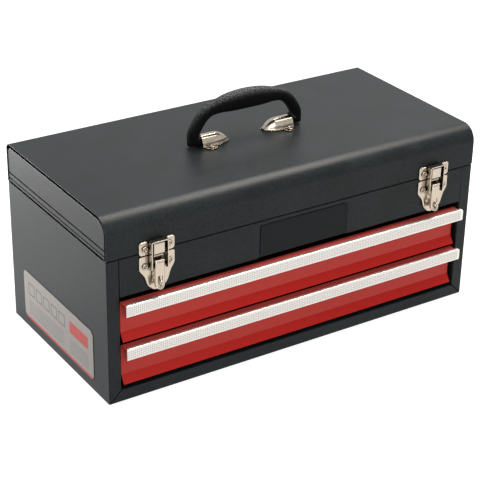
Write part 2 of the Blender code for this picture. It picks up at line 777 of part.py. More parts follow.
def hinge_leaf(build, name, body, up, first):
    """One leaf: a strip on which every second knuckle curls round the pin."""
    pitch = HINGE_LENGTH / HINGE_KNUCKLES
    columns = []
    for index in range(HINGE_KNUCKLES):
        start = -HINGE_LENGTH / 2 + index * pitch
        columns += [start + KNUCKLE_GAP / 2, start + pitch - KNUCKLE_GAP / 2]
    window = HINGE_BORE + HINGE_SHEET + KNUCKLE_GAP
    line = [(-HINGE_BORE, -HINGE_LEAF), (-HINGE_BORE, -window)]
    for step in range(HINGE_STEPS + 1):
        angle = pi - HINGE_CURL * step / HINGE_STEPS
        line.append((HINGE_BORE * cos(angle), HINGE_BORE * sin(angle)))
    rows = [[(x, HINGE_Y + y, HINGE_Z + z * up) for y, z in line] for x in columns]

    def keep(row, column):
        own_knuckle = row % 2 == 0 and row // 2 % 2 == first
        return column == 0 or own_knuckle

    obj = build.add(name, lofted(name, rows, keep, smooth=True), "zinc", body)
    thicken(obj, HINGE_SHEET, OUTWARDS)


def hinge_pin(build):
    half = HINGE_LENGTH / 2
    ends = [((-half, HINGE_Y, HINGE_Z), (half, HINGE_Y, HINGE_Z))]
    build.add("hinge_pin", rods("hinge_pin", ends, HINGE_PIN), "zinc", "case")


def rivet(build, name, place, turn, grip, body):
    """Rivet with a domed head outside and a flattened tail inside; its +Z points outwards."""
    tail = -grip - RIVET_TAIL_THICK
    line = []
    for step in range(DOME_STEPS + 1):
        angle = pi / 2 * step / DOME_STEPS
        line.append((RIVET_HEAD * sin(angle), RIVET_DOME * cos(angle)))
    line += [(RIVET_SHANK, 0), (RIVET_SHANK, -grip), (RIVET_TAIL, -grip), (RIVET_TAIL, tail), (0, tail)]
    turned(build, name, line, "nickel", body, place, turn)


def headed_pin(build, name, middle, half, body):
    """Pin along X with a small head at both ends."""
    end = half + PIN_HEAD_THICK
    line = [(0, end), (PIN_HEAD, end), (PIN_HEAD, half), (LATCH_PIN, half)]
    line += [(radius, -height) for radius, height in line[::-1]]
    turned(build, name, line, "nickel", body, middle, (0, pi / 2, 0))


def latch_place(side, x, out, up):
    """A place on one latch: across from its middle, out from the front, up from the seam."""
    return (side * LATCH_X + x, FRONT - out, SEAM + up)


def cross_bore(side, half, out, up, radius):
    """Cutter for a hole along X through a latch piece."""
    ends = [(latch_place(side, -half, out, up), latch_place(side, half, out, up))]
    return rods("bore", ends, radius)


def keeper(build, name, side):
    """Lid half of the latch: a riveted plate with the boss that the link hooks over."""
    half = [
        (LINK_HALF, BOSS_TOP - KEEPER_CORNER),
        (LINK_HALF + KEEPER_CORNER, KEEPER_TOP),
        (LATCH_HALF - KEEPER_CORNER, KEEPER_TOP),
        (LATCH_HALF, KEEPER_TOP - KEEPER_CORNER),
        (LATCH_HALF, KEEPER_CORNER),
        (LATCH_HALF - KEEPER_CORNER, -KEEPER_BELOW),
    ]
    mesh = plate("keeper", mirrored(half), LATCH_SHEET, facing_front(*latch_place(side, 0, GAP, 0)))
    obj = build.add("keeper_" + name, mesh, "nickel", "lid")
    corner = latch_place(side, -BOSS_HALF, BOSS_OUT, -BOSS_BELOW)
    opposite = latch_place(side, BOSS_HALF, GAP + LATCH_SHEET / 2, BOSS_TOP)
    build.combine(obj, "boss_" + name, box("boss", corner, opposite), "UNION")
    wall = LATCH_SHEET
    corner = latch_place(side, wall - BOSS_HALF, BOSS_OUT - wall, wall - BOSS_BELOW)
    opposite = latch_place(side, BOSS_HALF - wall, -OVERRUN, BOSS_TOP - wall)
    build.combine(obj, "boss_hollow_" + name, box("hollow", corner, opposite))
    holes = rivet_holes(rivet_places(KEEPER_RIVET_UP), OUTWARDS, OVERRUN)
    build.combine(obj, "keeper_holes_" + name, holes)


def ear(side, inner):
    """Upright ear: a round end about the pivot on a foot that stands in the base plate."""
    root = GAP + LATCH_SHEET / 2
    outline = [(root, -PIVOT_DOWN - EAR_RADIUS)]
    for step in range(EAR_STEPS + 1):
        angle = pi * step / EAR_STEPS - pi / 2
        outline.append((PIVOT_OUT + EAR_RADIUS * cos(angle), EAR_RADIUS * sin(angle) - PIVOT_DOWN))
    outline.append((root, EAR_RADIUS - PIVOT_DOWN))
    return plate("ear", outline, LATCH_SHEET, facing_side(*latch_place(side, inner, 0, 0)))


def latch_base(build, name, side):
    """Case half of the latch: tapered plate, two ears for the lever and a padlock staple."""
    half = [(LATCH_HALF * a, -BASE_TOP - BASE_LENGTH * b) for a, b in BASE_TAPER_SHARES]
    mesh = plate("latch_base", mirrored(half), LATCH_SHEET, facing_front(*latch_place(side, 0, GAP, 0)))
    obj = build.add("latch_base_" + name, mesh, "nickel", "case")
    holes = rivet_holes(rivet_places(-BASE_RIVET_DOWN), OUTWARDS, OVERRUN)
    build.combine(obj, "base_holes_" + name, holes)
    for label, inner in (("left", -EAR_INNER - LATCH_SHEET), ("right", EAR_INNER)):
        build.combine(obj, f"ear_{name}_{label}", ear(side, inner), "UNION")
    bore = cross_bore(side, LEVER_HALF, PIVOT_OUT, -PIVOT_DOWN, LATCH_PIN + GAP)
    build.combine(obj, "ear_bore_" + name, bore)
    corner = latch_place(side, -STAPLE_HALF, STAPLE_OUT, -STAPLE_TOP - STAPLE_LENGTH)
    opposite = latch_place(side, STAPLE_HALF, GAP + LATCH_SHEET / 2, -STAPLE_TOP)
    build.combine(obj, "staple_" + name, box("staple", corner, opposite), "UNION")
    hole_out = STAPLE_OUT - STAPLE_HOLE - LATCH_SHEET
    hole_up = -STAPLE_TOP - STAPLE_LENGTH / 2
    build.combine(obj, "staple_hole_" + name, cross_bore(side, OVERRUN, hole_out, hole_up, STAPLE_HOLE))


def lever(build, name, side):
    """Channel-shaped pull lever, shallower towards its kicked-out foot."""
    rows = []
    for down_share, kick_share, depth_share in LEVER_SHARES:
        front = LEVER_FRONT + LEVER_KICK * kick_share
        inner = front - (LEVER_FRONT - LEVER_BACK) * depth_share
        up = -LEVER_TOP - LEVER_LENGTH * down_share
        section = [(-LEVER_HALF, inner), (-LEVER_HALF, front), (LEVER_HALF, front), (LEVER_HALF, inner)]
        rows.append([latch_place(side, x, out, up) for x, out in rounded(section, [LEVER_FOLD] * 2)])
    obj = build.add("lever_" + name, lofted("lever", rows, smooth=True), "nickel", name + "_lever")
    thicken(obj, LATCH_SHEET, -OUTWARDS)
    corner = latch_place(side, -SLOT_HALF, LEVER_FRONT + LEVER_KICK, -SLOT_TOP - SLOT_LENGTH)
    opposite = latch_place(side, SLOT_HALF, LEVER_BACK, -SLOT_TOP)
    build.combine(obj, "slot_" + name, box("slot", corner, opposite))
    half = LEVER_HALF + OVERRUN
    pins = (("pivot", PIVOT_OUT, -PIVOT_DOWN), ("link", LINK_PIN_OUT, -LINK_PIN_DOWN))
    for pin, out, up in pins:
        build.combine(obj, f"lever_{pin}_bore_{name}", cross_bore(side, half, out, up, LATCH_PIN + GAP))


def link(build, name, side):
    """Loop of strip that hooks over the keeper boss and hangs on the lever's pin."""
    top = BOSS_TOP + LINK_OVER + LATCH_SHEET
    foot = -LINK_PIN_DOWN - LINK_FOOT
    section = [(-LINK_HALF, foot), (-LINK_HALF, top), (LINK_HALF, top), (LINK_HALF, foot)]
    x, y, z = latch_place(side, 0, 0, 0)
    profile = [(x + a, z + b) for a, b in rounded(section, [LEVER_FOLD] * 2)]
    mesh = folded("link", profile, (y - LINK_FRONT, y - LINK_BACK), "Y")
    obj = build.add("link_" + name, mesh, "nickel", name + "_link")
    thicken(obj, LATCH_SHEET, -UPWARDS)
    bore = cross_bore(side, LINK_HALF + OVERRUN, LINK_PIN_OUT, -LINK_PIN_DOWN, LATCH_PIN + GAP)
    build.combine(obj, "link_bore_" + name, bore)


def latch(build, name, side):
    keeper(build, name, side)
    latch_base(build, name, side)
    lever(build, name, side)
    link(build, name, side)
    pivot = latch_place(side, 0, PIVOT_OUT, -PIVOT_DOWN)
    headed_pin(build, "pivot_pin_" + name, pivot, LEVER_HALF + GAP, "case")
    pin = latch_place(side, 0, LINK_PIN_OUT, -LINK_PIN_DOWN)
    headed_pin(build, "link_pin_" + name, pin, LINK_HALF + GAP, name + "_lever")
    outwards = (pi / 2, 0, 0)
    seat = PLATE_OUT + GAP
    for label, step in SIDES:
        place = latch_place(side, step * RIVET_SPREAD, seat, KEEPER_RIVET_UP)
        rivet(build, f"keeper_rivet_{name}_{label}", place, outwards, LATCH_GRIP, "lid")
        place = latch_place(side, step * RIVET_SPREAD, seat, -BASE_RIVET_DOWN)
        rivet(build, f"base_rivet_{name}_{label}", place, outwards, LATCH_GRIP, "case")


def bracket_section(along):
    """Section of the bracket at a distance from its open end: flange, arch, flange."""
    straight = BRACKET_LENGTH * BRACKET_STRAIGHT_SHARE
    closing = max(0, (along - straight) / (BRACKET_LENGTH - straight)) ** 2
    rise = (BRACKET_HEIGHT - BRACKET_SHEET) * (1 - closing * (1 - BRACKET_TIP_HEIGHT_SHARE))
    half = BRACKET_HALF * (1 - closing * (1 - BRACKET_TIP_WIDTH_SHARE))
    edge = half + BRACKET_FLANGE * (1 - closing * (1 - BRACKET_TIP_FLANGE_SHARE))
    bulge = BRACKET_LUG**2 - (along - BRACKET_LUG_IN) ** 2
    if bulge > 0:
        edge = max(edge, BRACKET_LUG_SIDE + sqrt(bulge))
    line = [(-edge, BRACKET_SHEET)]
    for step in range(BRACKET_ARCH_STEPS + 1):
        angle = pi - pi * step / BRACKET_ARCH_STEPS
        line.append((half * cos(angle), BRACKET_SHEET + rise * sin(angle)))
    return [*line, (edge, BRACKET_SHEET)]


def bracket(build, name, side):
    """Pressed shell over the end of the handle core, with a riveted lug on each side."""
    seat = LID_TOP + GAP
    rows = []
    for station in range(BRACKET_STATIONS + 1):
        along = BRACKET_LENGTH * station / BRACKET_STATIONS
        x = side * (BRACKET_OUTER - along)
        rows.append([(x, y, seat + z) for y, z in bracket_section(along)])
    obj = build.add("bracket_" + name, lofted("bracket", rows, smooth=True), "nickel", "lid")
    thicken(obj, BRACKET_SHEET, -UPWARDS)
    holes = rivet_holes(bracket_rivet_places(), UPWARDS, OVERRUN * 2)
    build.combine(obj, "bracket_holes_" + name, holes)
    grip = BRACKET_SHEET + SHEET + BACKING_THICK + GAP * 4
    for label, step in (("front", -1), ("back", 1)):
        place = (side * LUG_X, step * BRACKET_RIVET_SIDE, seat + BRACKET_SHEET + GAP)
        rivet(build, f"bracket_rivet_{name}_{label}", place, (0, 0, 0), grip, "lid")


def backing_plate(build):
    """Stiffener under the lid that spreads the load of the handle."""
    x = BRACKET_OUTER
    y = BRACKET_RIVET_SIDE + BACKING_MARGIN
    top = LID_TOP - SHEET - GAP
    mesh = box("backing_plate", (-x, -y, top - BACKING_THICK), (x, y, top))
    obj = build.add("backing_plate", mesh, "zinc", "lid")
    holes = rivet_holes(bracket_rivet_places(), UPWARDS, OVERRUN * 2)
    build.combine(obj, "backing_holes", holes)


def handle_line():
    """Centre line of the arch from the left foot to the right one, and the radii on it."""
    half = [(HANDLE_HALF * a, HANDLE_RISE * b) for a, b in ARCH_SHARES]
    left = [Vector((-x, 0, HANDLE_Z + z)) for x, z in half]
    top = Vector((0, 0, HANDLE_Z + HANDLE_RISE))
    right = [Vector((x, 0, HANDLE_Z + z)) for x, z in half[::-1]]
    swell = [LEG_RADIUS + (GRIP_RADIUS - LEG_RADIUS) * share for share in SWELL_SHARES]
    path = smooth_path([*left, top, *right], ARCH_STEPS)
    radii = smooth_path([(radius, 0) for radius in [*swell, GRIP_RADIUS, *swell[::-1]]], ARCH_STEPS)
    return path, [radius.x for radius in radii]


def core_line():
    """Centre line of the steel core: a pin and a small bend at each foot, and the arch."""
    arch, _ = handle_line()
    centre = Vector((HANDLE_HALF - CORE_BEND, 0, HANDLE_Z + CORE_BEND))
    right = [Vector((BRACKET_OUTER - CORE_IN, 0, HANDLE_Z))]
    for step in range(CORE_BEND_STEPS):
        angle = pi / 2 * step / CORE_BEND_STEPS - pi / 2
        right.append(centre + Vector((cos(angle), 0, sin(angle))) * CORE_BEND)
    middle = [point for point in arch if point.z > HANDLE_Z + CORE_BEND]
    left = [Vector((-point.x, 0, point.z)) for point in right]
    return [*left, *middle, *right[::-1]]


def handle(build):
    """Moulded grip round a bent steel core."""
    path, radii = handle_line()
    obj = build.add("handle_grip", tube("handle_grip", path, radii, GRIP_SIDES), "grip", "handle")
    for name, side in SIDES:
        foot = Vector((side * HANDLE_HALF, 0, HANDLE_Z))
        bm = bmesh.new()
        bmesh.ops.create_uvsphere(bm, u_segments=GRIP_SIDES, v_segments=GRIP_SIDES // 2, radius=FOOT_RADIUS)
        bmesh.ops.translate(bm, verts=bm.verts, vec=foot)
        build.combine(obj, "foot_" + name, to_mesh("foot", bm, smooth=True), "UNION")
        inner = Vector((side * (BRACKET_OUTER + GAP), 0, HANDLE_Z))
        collar = rods("collar", [(inner, foot)], LEG_RADIUS - GAP, GRIP_SIDES + 2)
        build.combine(obj, "collar_" + name, collar, "UNION")
    line = core_line()
    bore = tube("bore", line, [CORE_RADIUS + GAP] * len(line), CORE_SIDES)
    build.combine(obj, "handle_bore", bore)
    core = tube("handle_core", line, [CORE_RADIUS] * len(line), CORE_SIDES)
    build.add("handle_core", core, "zinc", "handle")


def make_bodies(build):
    build.body("case", (0, 0, 0))
    build.body("lid", (0, HINGE_Y, HINGE_Z), "case")
    for label in DRAWER_NAMES:
        build.body(label + "_drawer", (0, FRONT, drawer_low(label)), "case")
    for name, side in SIDES:
        pivot = latch_place(side, 0, PIVOT_OUT, -PIVOT_DOWN)
        pin = latch_place(side, 0, LINK_PIN_OUT, -LINK_PIN_DOWN)
        build.body(name + "_lever", pivot, "case")
        build.body(name + "_link", pin, name + "_lever")
    build.body("handle", (0, 0, HANDLE_Z), "lid")


def main():
    clear_scene()
    build = Builder()
    make_bodies(build)
    case_wrap(build)
    bottom_pan(build)
    till_front(build)
    till_floor(build)
    name_plate(build)
    side_label(build)
    for label in DRAWER_NAMES:
        slide_channels(build, label)
        drawer_front(build, label)
        drawer_trim(build, label)
        drawer_tray(build, label)
        drawer_runners(build, label)
    hinge_leaf(build, "hinge_leaf_case", "case", 1, 0)
    hinge_leaf(build, "hinge_leaf_lid", "lid", -1, 1)
    hinge_pin(build)
    lid_wrap(build)
    for name, side in SIDES:
        lid_end(build, name, side)
        latch(build, name, side)
        bracket(build, name, side)
    backing_plate(build)
    handle(build)


main()
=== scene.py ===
"""Finished look of a two-drawer tool box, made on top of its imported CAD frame.

The file is laid out as an add-on and run as a script. Lengths in the piece
functions are in millimetres, +Z is up and the drawers open towards -Y.
"""

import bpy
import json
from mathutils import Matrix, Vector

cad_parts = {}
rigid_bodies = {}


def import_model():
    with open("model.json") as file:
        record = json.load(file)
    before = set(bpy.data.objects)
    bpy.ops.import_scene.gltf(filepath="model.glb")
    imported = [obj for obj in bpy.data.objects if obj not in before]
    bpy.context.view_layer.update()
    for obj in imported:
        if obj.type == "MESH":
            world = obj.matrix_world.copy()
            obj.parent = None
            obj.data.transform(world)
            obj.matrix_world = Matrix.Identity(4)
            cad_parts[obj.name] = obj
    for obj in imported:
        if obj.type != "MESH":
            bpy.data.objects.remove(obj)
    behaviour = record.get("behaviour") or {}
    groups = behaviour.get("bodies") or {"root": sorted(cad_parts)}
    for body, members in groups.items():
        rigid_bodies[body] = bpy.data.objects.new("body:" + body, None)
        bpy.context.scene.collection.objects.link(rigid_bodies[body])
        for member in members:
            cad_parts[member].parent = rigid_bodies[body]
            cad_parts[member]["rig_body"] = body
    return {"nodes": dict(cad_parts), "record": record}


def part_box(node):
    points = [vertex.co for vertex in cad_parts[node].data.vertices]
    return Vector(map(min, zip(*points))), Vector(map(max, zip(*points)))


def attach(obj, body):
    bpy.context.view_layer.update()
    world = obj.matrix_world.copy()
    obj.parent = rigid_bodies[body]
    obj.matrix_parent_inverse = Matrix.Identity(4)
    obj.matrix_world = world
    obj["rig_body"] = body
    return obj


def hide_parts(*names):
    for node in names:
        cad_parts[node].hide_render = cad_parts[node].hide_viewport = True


bl_info = {
    "name": "Tool box finish",
    "version": (1, 0, 0),
    "blender": (4, 5, 0),
    "location": "3D View > Sidebar > Tool box",
    "description": "Detailed pieces, finishes and studio for a two-drawer tool box",
    "category": "Object",
}

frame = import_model()

import json
from math import atan2, ceil, cos, degrees, exp, hypot, pi, prod, radians, sin, sqrt, tan

import bmesh
import bpy
from bpy.props import FloatProperty, FloatVectorProperty, PointerProperty
from mathutils import Matrix, Vector

MM = 0.001
OUTWARDS = Vector((0, -1, 0))
UPWARDS = Vector((0, 0, 1))
SIDES = (("left", -1), ("right", 1))
SLOTS = {part["node"]: part["material_slot"] for part in frame["record"]["subparts"]}


def corners(node):
    """Lowest and highest corner of a CAD node, in millimetres."""
    return [Vector(corner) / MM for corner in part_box(node)]


# Sizes that several pieces share
SHEET = 0.8
GAP = 0.3
STILE = 15.5  # width of the case's front stiles
HEM = 7  # depth of the hem along the foot of the lid
DRAWER_RISE = 50  # from the foot of a drawer front to the top of its shelf
FLARE = 10.4  # height of the flared foot of a drawer front
RIVET_OFFSET = 15.4  # distance of the rivets from the middle of a latch or a bracket
TINY = 0.001  # points that are closer than this are one

# Places of the sheets, read from the frame
(_, FRONT, _), (HALF, BACK, SEAM) = corners("case_wrap")
(_, _, LID_LOW), (_, _, LID_TOP) = corners("lid_wrap")
LID_LOW += GAP  # the foot of the lid stands a gap above that of its solid
LATCH_X = sum(corner.x for corner in corners("latch_base_right")) / 2
HANDLE_Z = 238.0  # height of the axis on which the handle swings


def length_property(name, description, default, low, high):
    """A length whose default and limits are in millimetres."""
    return FloatProperty(
        name=name, description=description, default=default * MM, min=low * MM, max=high * MM,
        unit="LENGTH", subtype="DISTANCE", precision=5,
    )


class ToolBoxSizes(bpy.types.PropertyGroup):
    """Sizes of the details that the finished pieces add to the CAD solids."""

    fold: length_property("Fold radius", "Outer radius of the folds in the case sheets", 1.4, 0.9, 3)
    edge: length_property("Edge break", "Softened width of cut sheet edges", 0.22, 0, 0.4)
    lid_front: length_property("Lid front radius", "Outer radius of the lid's front edge", 20, 10, 20)
    lid_back: length_property("Lid back radius", "Outer radius of the lid's back edge", 8, 3, 8)
    peel: length_property("Orange peel", "Size of the ripples in the powder coat", 1.5, 0.3, 5)
    knurl: length_property("Knurl pitch", "Distance between the points of the knurled strips", 2.4, 0.8, 4)
    grain: length_property("Grip grain", "Size of the leather grain on the grip", 1.3, 0.3, 4)


def colour_property(name, description, default):
    """A colour as linear values."""
    return FloatVectorProperty(
        name=name, description=description, default=default, size=3, min=0, max=1, subtype="COLOR"
    )


class ToolBoxColours(bpy.types.PropertyGroup):
    """Colours of the finishes, as linear values."""

    charcoal: colour_property("Charcoal", "Powder coat of the case, lid and trays", (0.0072, 0.0098, 0.0110))
    red: colour_property("Red", "Powder coat of the drawer fronts", (0.43, 0.031, 0.0225))
    nickel: colour_property("Nickel", "Plating of the latches, brackets and rivets", (0.45, 0.39, 0.32))
    aluminium: colour_property("Aluminium", "Pull strips of the drawers", (0.70, 0.68, 0.65))
    zinc: colour_property("Zinc", "Plating of the hinge, slides and handle core", (0.4, 0.41, 0.425))
    grip: colour_property("Grip", "Moulded grip of the handle", (0.0037, 0.0039, 0.004))
    plate: colour_property("Plate", "Blank plate in the recess", (0.0075, 0.009, 0.01))
    film: colour_property("Film", "Ground of the label on the left side", (0.225, 0.21, 0.195))
    ink: colour_property("Ink", "Red blocks of the label", (0.33, 0.04, 0.032))


def angle_property(name, description, default):
    """An angle whose default is in degrees."""
    return FloatProperty(
        name=name, description=description, default=radians(default), unit="ROTATION", subtype="ANGLE"
    )


class ToolBoxStudio(bpy.types.PropertyGroup):
    """Camera and lamps."""

    lens: length_property("Lens", "Focal length of the camera", 113.31, 20, 300)
    yaw: angle_property("Yaw", "Turn of the camera to the right of the front", 33.1535)
    pitch: angle_property("Pitch", "Tilt of the camera below the horizon", 26.9752)
    roll: angle_property("Roll", "Turn of the camera about its line of sight", 1.0754)
    place: FloatVectorProperty(
        name="Place", description="Place of the camera",
        default=(-0.9156, -1.3954, 0.9377), size=3, unit="LENGTH", subtype="TRANSLATION", precision=5,
    )
    lamps: FloatProperty(
        name="Lamps", description="Strength of all the lamps together",
        default=1.0, min=0, max=4, subtype="FACTOR",
    )


class Link:
    """A shader value whose operators add Math nodes."""

    def __init__(self, finish, socket):
        self.finish = finish
        self.socket = socket

    def output(self, name):
        """Another output of the same node."""
        return Link(self.finish, self.socket.node.outputs[name])

    def math(self, operation, *values):
        """The result of a Math node."""
        return self.finish.node("ShaderNodeMath", {"operation": operation}, dict(enumerate(values)))

    def __add__(self, other):
        return self.math("ADD", self, other)

    __radd__ = __add__

    def __mul__(self, other):
        return self.math("MULTIPLY", self, other)

    __rmul__ = __mul__

    def __sub__(self, other):
        return self.math("SUBTRACT", self, other)

    def __rsub__(self, other):
        return self.math("SUBTRACT", other, self)

    def __truediv__(self, other):
        return self.math("DIVIDE", self, other)

    def __pow__(self, other):
        return self.math("POWER", self, other)

    def __mod__(self, other):
        return self.math("FLOORED_MODULO", self, other)

    def __lt__(self, other):
        return self.math("LESS_THAN", self, other)

    def __gt__(self, other):
        return self.math("GREATER_THAN", self, other)

    def __abs__(self):
        return self.math("ABSOLUTE", self)

    def at_least(self, other):
        return self.math("MAXIMUM", self, other)

    def at_most(self, other):
        return self.math("MINIMUM", self, other)


class Nodes:
    """A node tree in the making."""

    def __init__(self, owner):
        owner.use_nodes = True
        self.tree = owner.node_tree
        self.tree.nodes.clear()

    def node(self, kind, settings=(), sockets=(), output=0):
        """Adds a node: its settings come first, then the values or links of its sockets."""
        made = self.tree.nodes.new(kind)
        for name, value in dict(settings).items():
            setattr(made, name, value)
        for name, value in dict(sockets).items():
            socket = made.inputs[name]
            if isinstance(value, Link):
                self.tree.links.new(socket, value.socket)
            elif hasattr(socket.default_value, "__len__") and len(socket.default_value) > len(value):
                socket.default_value = (*value, 1)
            else:
                socket.default_value = value
        return Link(self, made.outputs[output]) if made.outputs else None

    def seen_directly(self):
        """1 for rays from the camera and for reflected and refracted ones, and 0 for light."""
        rays = self.node("ShaderNodeLightPath", output="Is Camera Ray")
        seen = rays + rays.output("Is Glossy Ray") + rays.output("Is Transmission Ray")
        return seen.at_most(1)


class Finish(Nodes):
    """A material in the making. Its places are in metres, in the frame of the CAD."""

    def __init__(self, name):
        self.material = bpy.data.materials.new(name)
        super().__init__(self.material)
        self.place = self.node("ShaderNodeTexCoord", output="Object")

    def axis(self, name, vector=None):
        """One part of the place, or of another vector."""
        return self.node("ShaderNodeSeparateXYZ", sockets={"Vector": vector or self.place}, output=name)

    def noise(self, size, detail=2):
        """Noise between 0 and 1 with features of one size in metres."""
        sockets = {"Vector": self.place, "Scale": 1 / size, "Detail": detail}
        return self.node("ShaderNodeTexNoise", sockets=sockets)

    def openness(self, reach):
        """How open a place is, used to paint shade where it is low: 1 on open faces, and less in crevices;
        reach is how far they are looked for, in metres.
        """
        return self.node("ShaderNodeAmbientOcclusion", {"samples": 8}, {"Distance": reach}, "AO")

    def mix(self, factor, low, high):
        """A colour between two others."""
        settings = {"data_type": "RGBA", "clamp_factor": True}
        return self.node("ShaderNodeMix", settings, {0: factor, 6: low, 7: high}, 2)

    def shade(self, colour, value):
        """A colour or a vector times a value."""
        settings = {"operation": "SCALE"}
        return self.node("ShaderNodeVectorMath", settings, {0: colour, "Scale": value})

    def bump(self, height, distance):
        """The normal that a height gives; distance is how far a height of 1 stands out, in metres."""
        return self.node("ShaderNodeBump", sockets={"Height": height, "Distance": distance})

    def peel(self, size):
        """Speckle of a powder coat, and its normal with ripples of one size in metres."""
        speckle = self.noise(size / 2.5, 1)
        return speckle, self.bump(self.noise(size, 3) + speckle * 0.6, 0.06 * MM)

    def surface(self, **values):
        """Ends the material in a Principled shader; words in names are joined by underscores."""
        sockets = {name.replace("_", " "): value for name, value in values.items()}
        shader = self.node("ShaderNodeBsdfPrincipled", sockets=sockets)
        self.node("ShaderNodeOutputMaterial", sockets={"Surface": shader})
        return self.material


def charcoal(colours, sizes):
    """Powder coat of the case, the lid and the trays, with orange peel and a fine fleck."""
    finish = Finish("charcoal_coat")
    patch, uneven, darkest = 45 * MM, 0.7, 0.1
    speckle, rippled = finish.peel(sizes.peel)
    sparkle = finish.noise(sizes.peel * 1.6, 1) - 0.5
    cloud = finish.noise(patch, 4) - 0.5
    tone = 1 + cloud * uneven * 2 + (speckle - 0.5) * uneven + sparkle * uneven * 3
    return finish.surface(
        Base_Color=finish.shade(colours.charcoal, tone.at_least(darkest)),
        Roughness=0.4 + (speckle - 0.5) * 0.1 + sparkle * 0.3 + cloud * 0.14,
        Specular_IOR_Level=0.17,
        Normal=rippled,
    )


def red(colours, sizes):
    """Coat of both drawer fronts, with painted shade deepening the flare at the foot, painted light paling
    that flare towards its foot, and a painted sheen on the shelf.
    """
    finish = Finish("red_coat")
    foot = corners("lower_drawer_front")[0].z
    pitch = corners("upper_drawer_front")[0].z - foot
    up = (finish.axis("Z") / MM - foot) % pitch
    flare, shelf = up < FLARE, up > DRAWER_RISE - 1.1
    # Painted shade: the flare is painted a deeper, darker red than the face above it.
    deep = [share * part for share, part in zip((0.97, 0.2, 0.1), colours.red)]
    # Painted sheen: a pale pink is mixed into the shelf in place of its reflection.
    shelf_sheen = (0.85, 0.22, 0.19)
    coat = finish.mix(shelf * 0.2, finish.mix(flare, colours.red, deep), shelf_sheen)
    speckle, rippled = finish.peel(sizes.peel)
    # Painted light: the flare is painted paler towards its foot and darker near its crease.
    return finish.surface(
        Base_Color=finish.shade(coat, 0.92 + speckle * 0.16 + flare * (0.07 - up * 0.015)),
        Roughness=0.3 + speckle * 0.14,
        Specular_IOR_Level=0.22,
        Normal=rippled,
    )


def nickel(colours, sizes):
    """Bright plating on pressed steel: gently uneven, with painted shade in the crevices and a painted dark
    reflection on the brackets.
    """
    finish = Finish("nickel_plate")
    dent, fine, crevice, depth = 5 * MM, 1.2 * MM, 3.6 * MM, 0.12 * MM
    just_above_lid = (LID_TOP + 0.2) * MM
    dents = finish.noise(dent, 2)
    haze = finish.noise(fine, 3)
    # Painted reflection: the brackets above the lid are painted darker than the latches, as a dark
    # reflection, in patches that follow the dents.
    painted_darker_bracket = finish.axis("Z") > just_above_lid
    tone = (0.92 + haze * 0.16) * (1.07 - painted_darker_bracket * (0.62 - dents * 0.75))
    # Painted shade: the plating is painted darker in crevices and narrow corners.
    return finish.surface(
        Base_Color=finish.shade(colours.nickel, tone * (0.06 + finish.openness(crevice) ** 2 * 0.98)),
        Metallic=1,
        Roughness=0.13 + haze * 0.12,
        Normal=finish.bump(dents, depth),
    )


def aluminium(colours, sizes):
    """Bright strip whose face is knurled, with painted shade between the knurl's points, and whose rounded
    edges and ends are plain.
    """
    finish = Finish("knurled_strip")
    low, high = corners("lower_drawer_trim")
    middle = (low.z + high.z) / 2 * MM
    pitch = (corners("upper_drawer_trim")[0].z - low.z) * MM
    half_height, half_length = (high.z - low.z) * 0.36 * MM, (high.x - 3.2) * MM
    scratch, depth = 0.25 * MM, 0.2 * MM
    x, z = finish.axis("X"), finish.axis("Z")
    from_middle = abs((z - middle + pitch / 2) % pitch - pitch / 2)
    band = (from_middle < half_height) * (abs(x) < half_length)
    turn = pi / sizes.knurl
    points = abs(x.math("SINE", x * turn)) * abs(z.math("SINE", z * turn))
    drawn = finish.noise(scratch, 2)
    # Painted shade of the knurl: the knurled band is painted darker between its points and paler on them.
    return finish.surface(
        Base_Color=finish.shade(colours.aluminium, 1.06 - band * (0.46 - points * 0.56)),
        Metallic=0.8,
        Roughness=0.28 + band * 0.12 + drawn * 0.06,
        Normal=finish.bump(points * band + drawn * 0.06, depth),
    )


def zinc(colours, sizes):
    """Zinc plating with a faint spangle, and painted shade in the crevices."""
    finish = Finish("zinc_plate")
    spangles_per_metre, fine, crevice, depth = 240, 3 * MM, 2.6 * MM, 0.04 * MM
    cells = finish.node("ShaderNodeTexVoronoi", sockets={"Vector": finish.place, "Scale": spangles_per_metre})
    haze = finish.noise(fine, 3)
    # Painted shade: the plating is painted darker in crevices and narrow corners.
    tone = (0.82 + (cells % 0.21) + haze * 0.2) * (0.2 + finish.openness(crevice) * 0.8)
    return finish.surface(
        Base_Color=finish.shade(colours.zinc, tone),
        Metallic=0.95,
        Roughness=0.26 + haze * 0.2,
        Normal=finish.bump(haze, depth),
    )


def grip(colours, sizes):
    """Moulded grip with a leather grain, and a painted sheen on its upper side."""
    finish = Finish("grained_grip")
    depth = 0.3 * MM
    drift = finish.shade(finish.noise(sizes.grain * 2, 2).output("Color"), sizes.grain * 0.8)
    shifted = finish.node("ShaderNodeVectorMath", {"operation": "ADD"}, {0: finish.place, 1: drift})
    sockets = {"Vector": shifted, "Scale": 1 / sizes.grain}
    cells = finish.node("ShaderNodeTexVoronoi", {"feature": "DISTANCE_TO_EDGE"}, sockets)
    pebbles = (cells * 4).at_most(1)
    fine = finish.noise(sizes.grain / 4, 2)
    upwards = finish.axis("Z", finish.place.output("Normal")).at_least(0)
    # Painted sheen: the upper side of the grip is painted paler, speckled with the grain.
    painted_top_sheen = upwards ** 3 * (finish.noise(sizes.grain * 1.1, 0) * 1.8 - 0.4)
    return finish.surface(
        Base_Color=finish.shade(colours.grip, 0.5 + pebbles * 0.5 + fine * 0.2 + painted_top_sheen * pebbles * 72),
        Roughness=0.78 - pebbles * 0.1 + fine * 0.1,
        Specular_IOR_Level=0.05,
        Normal=finish.bump(pebbles + fine * 0.3, depth),
    )


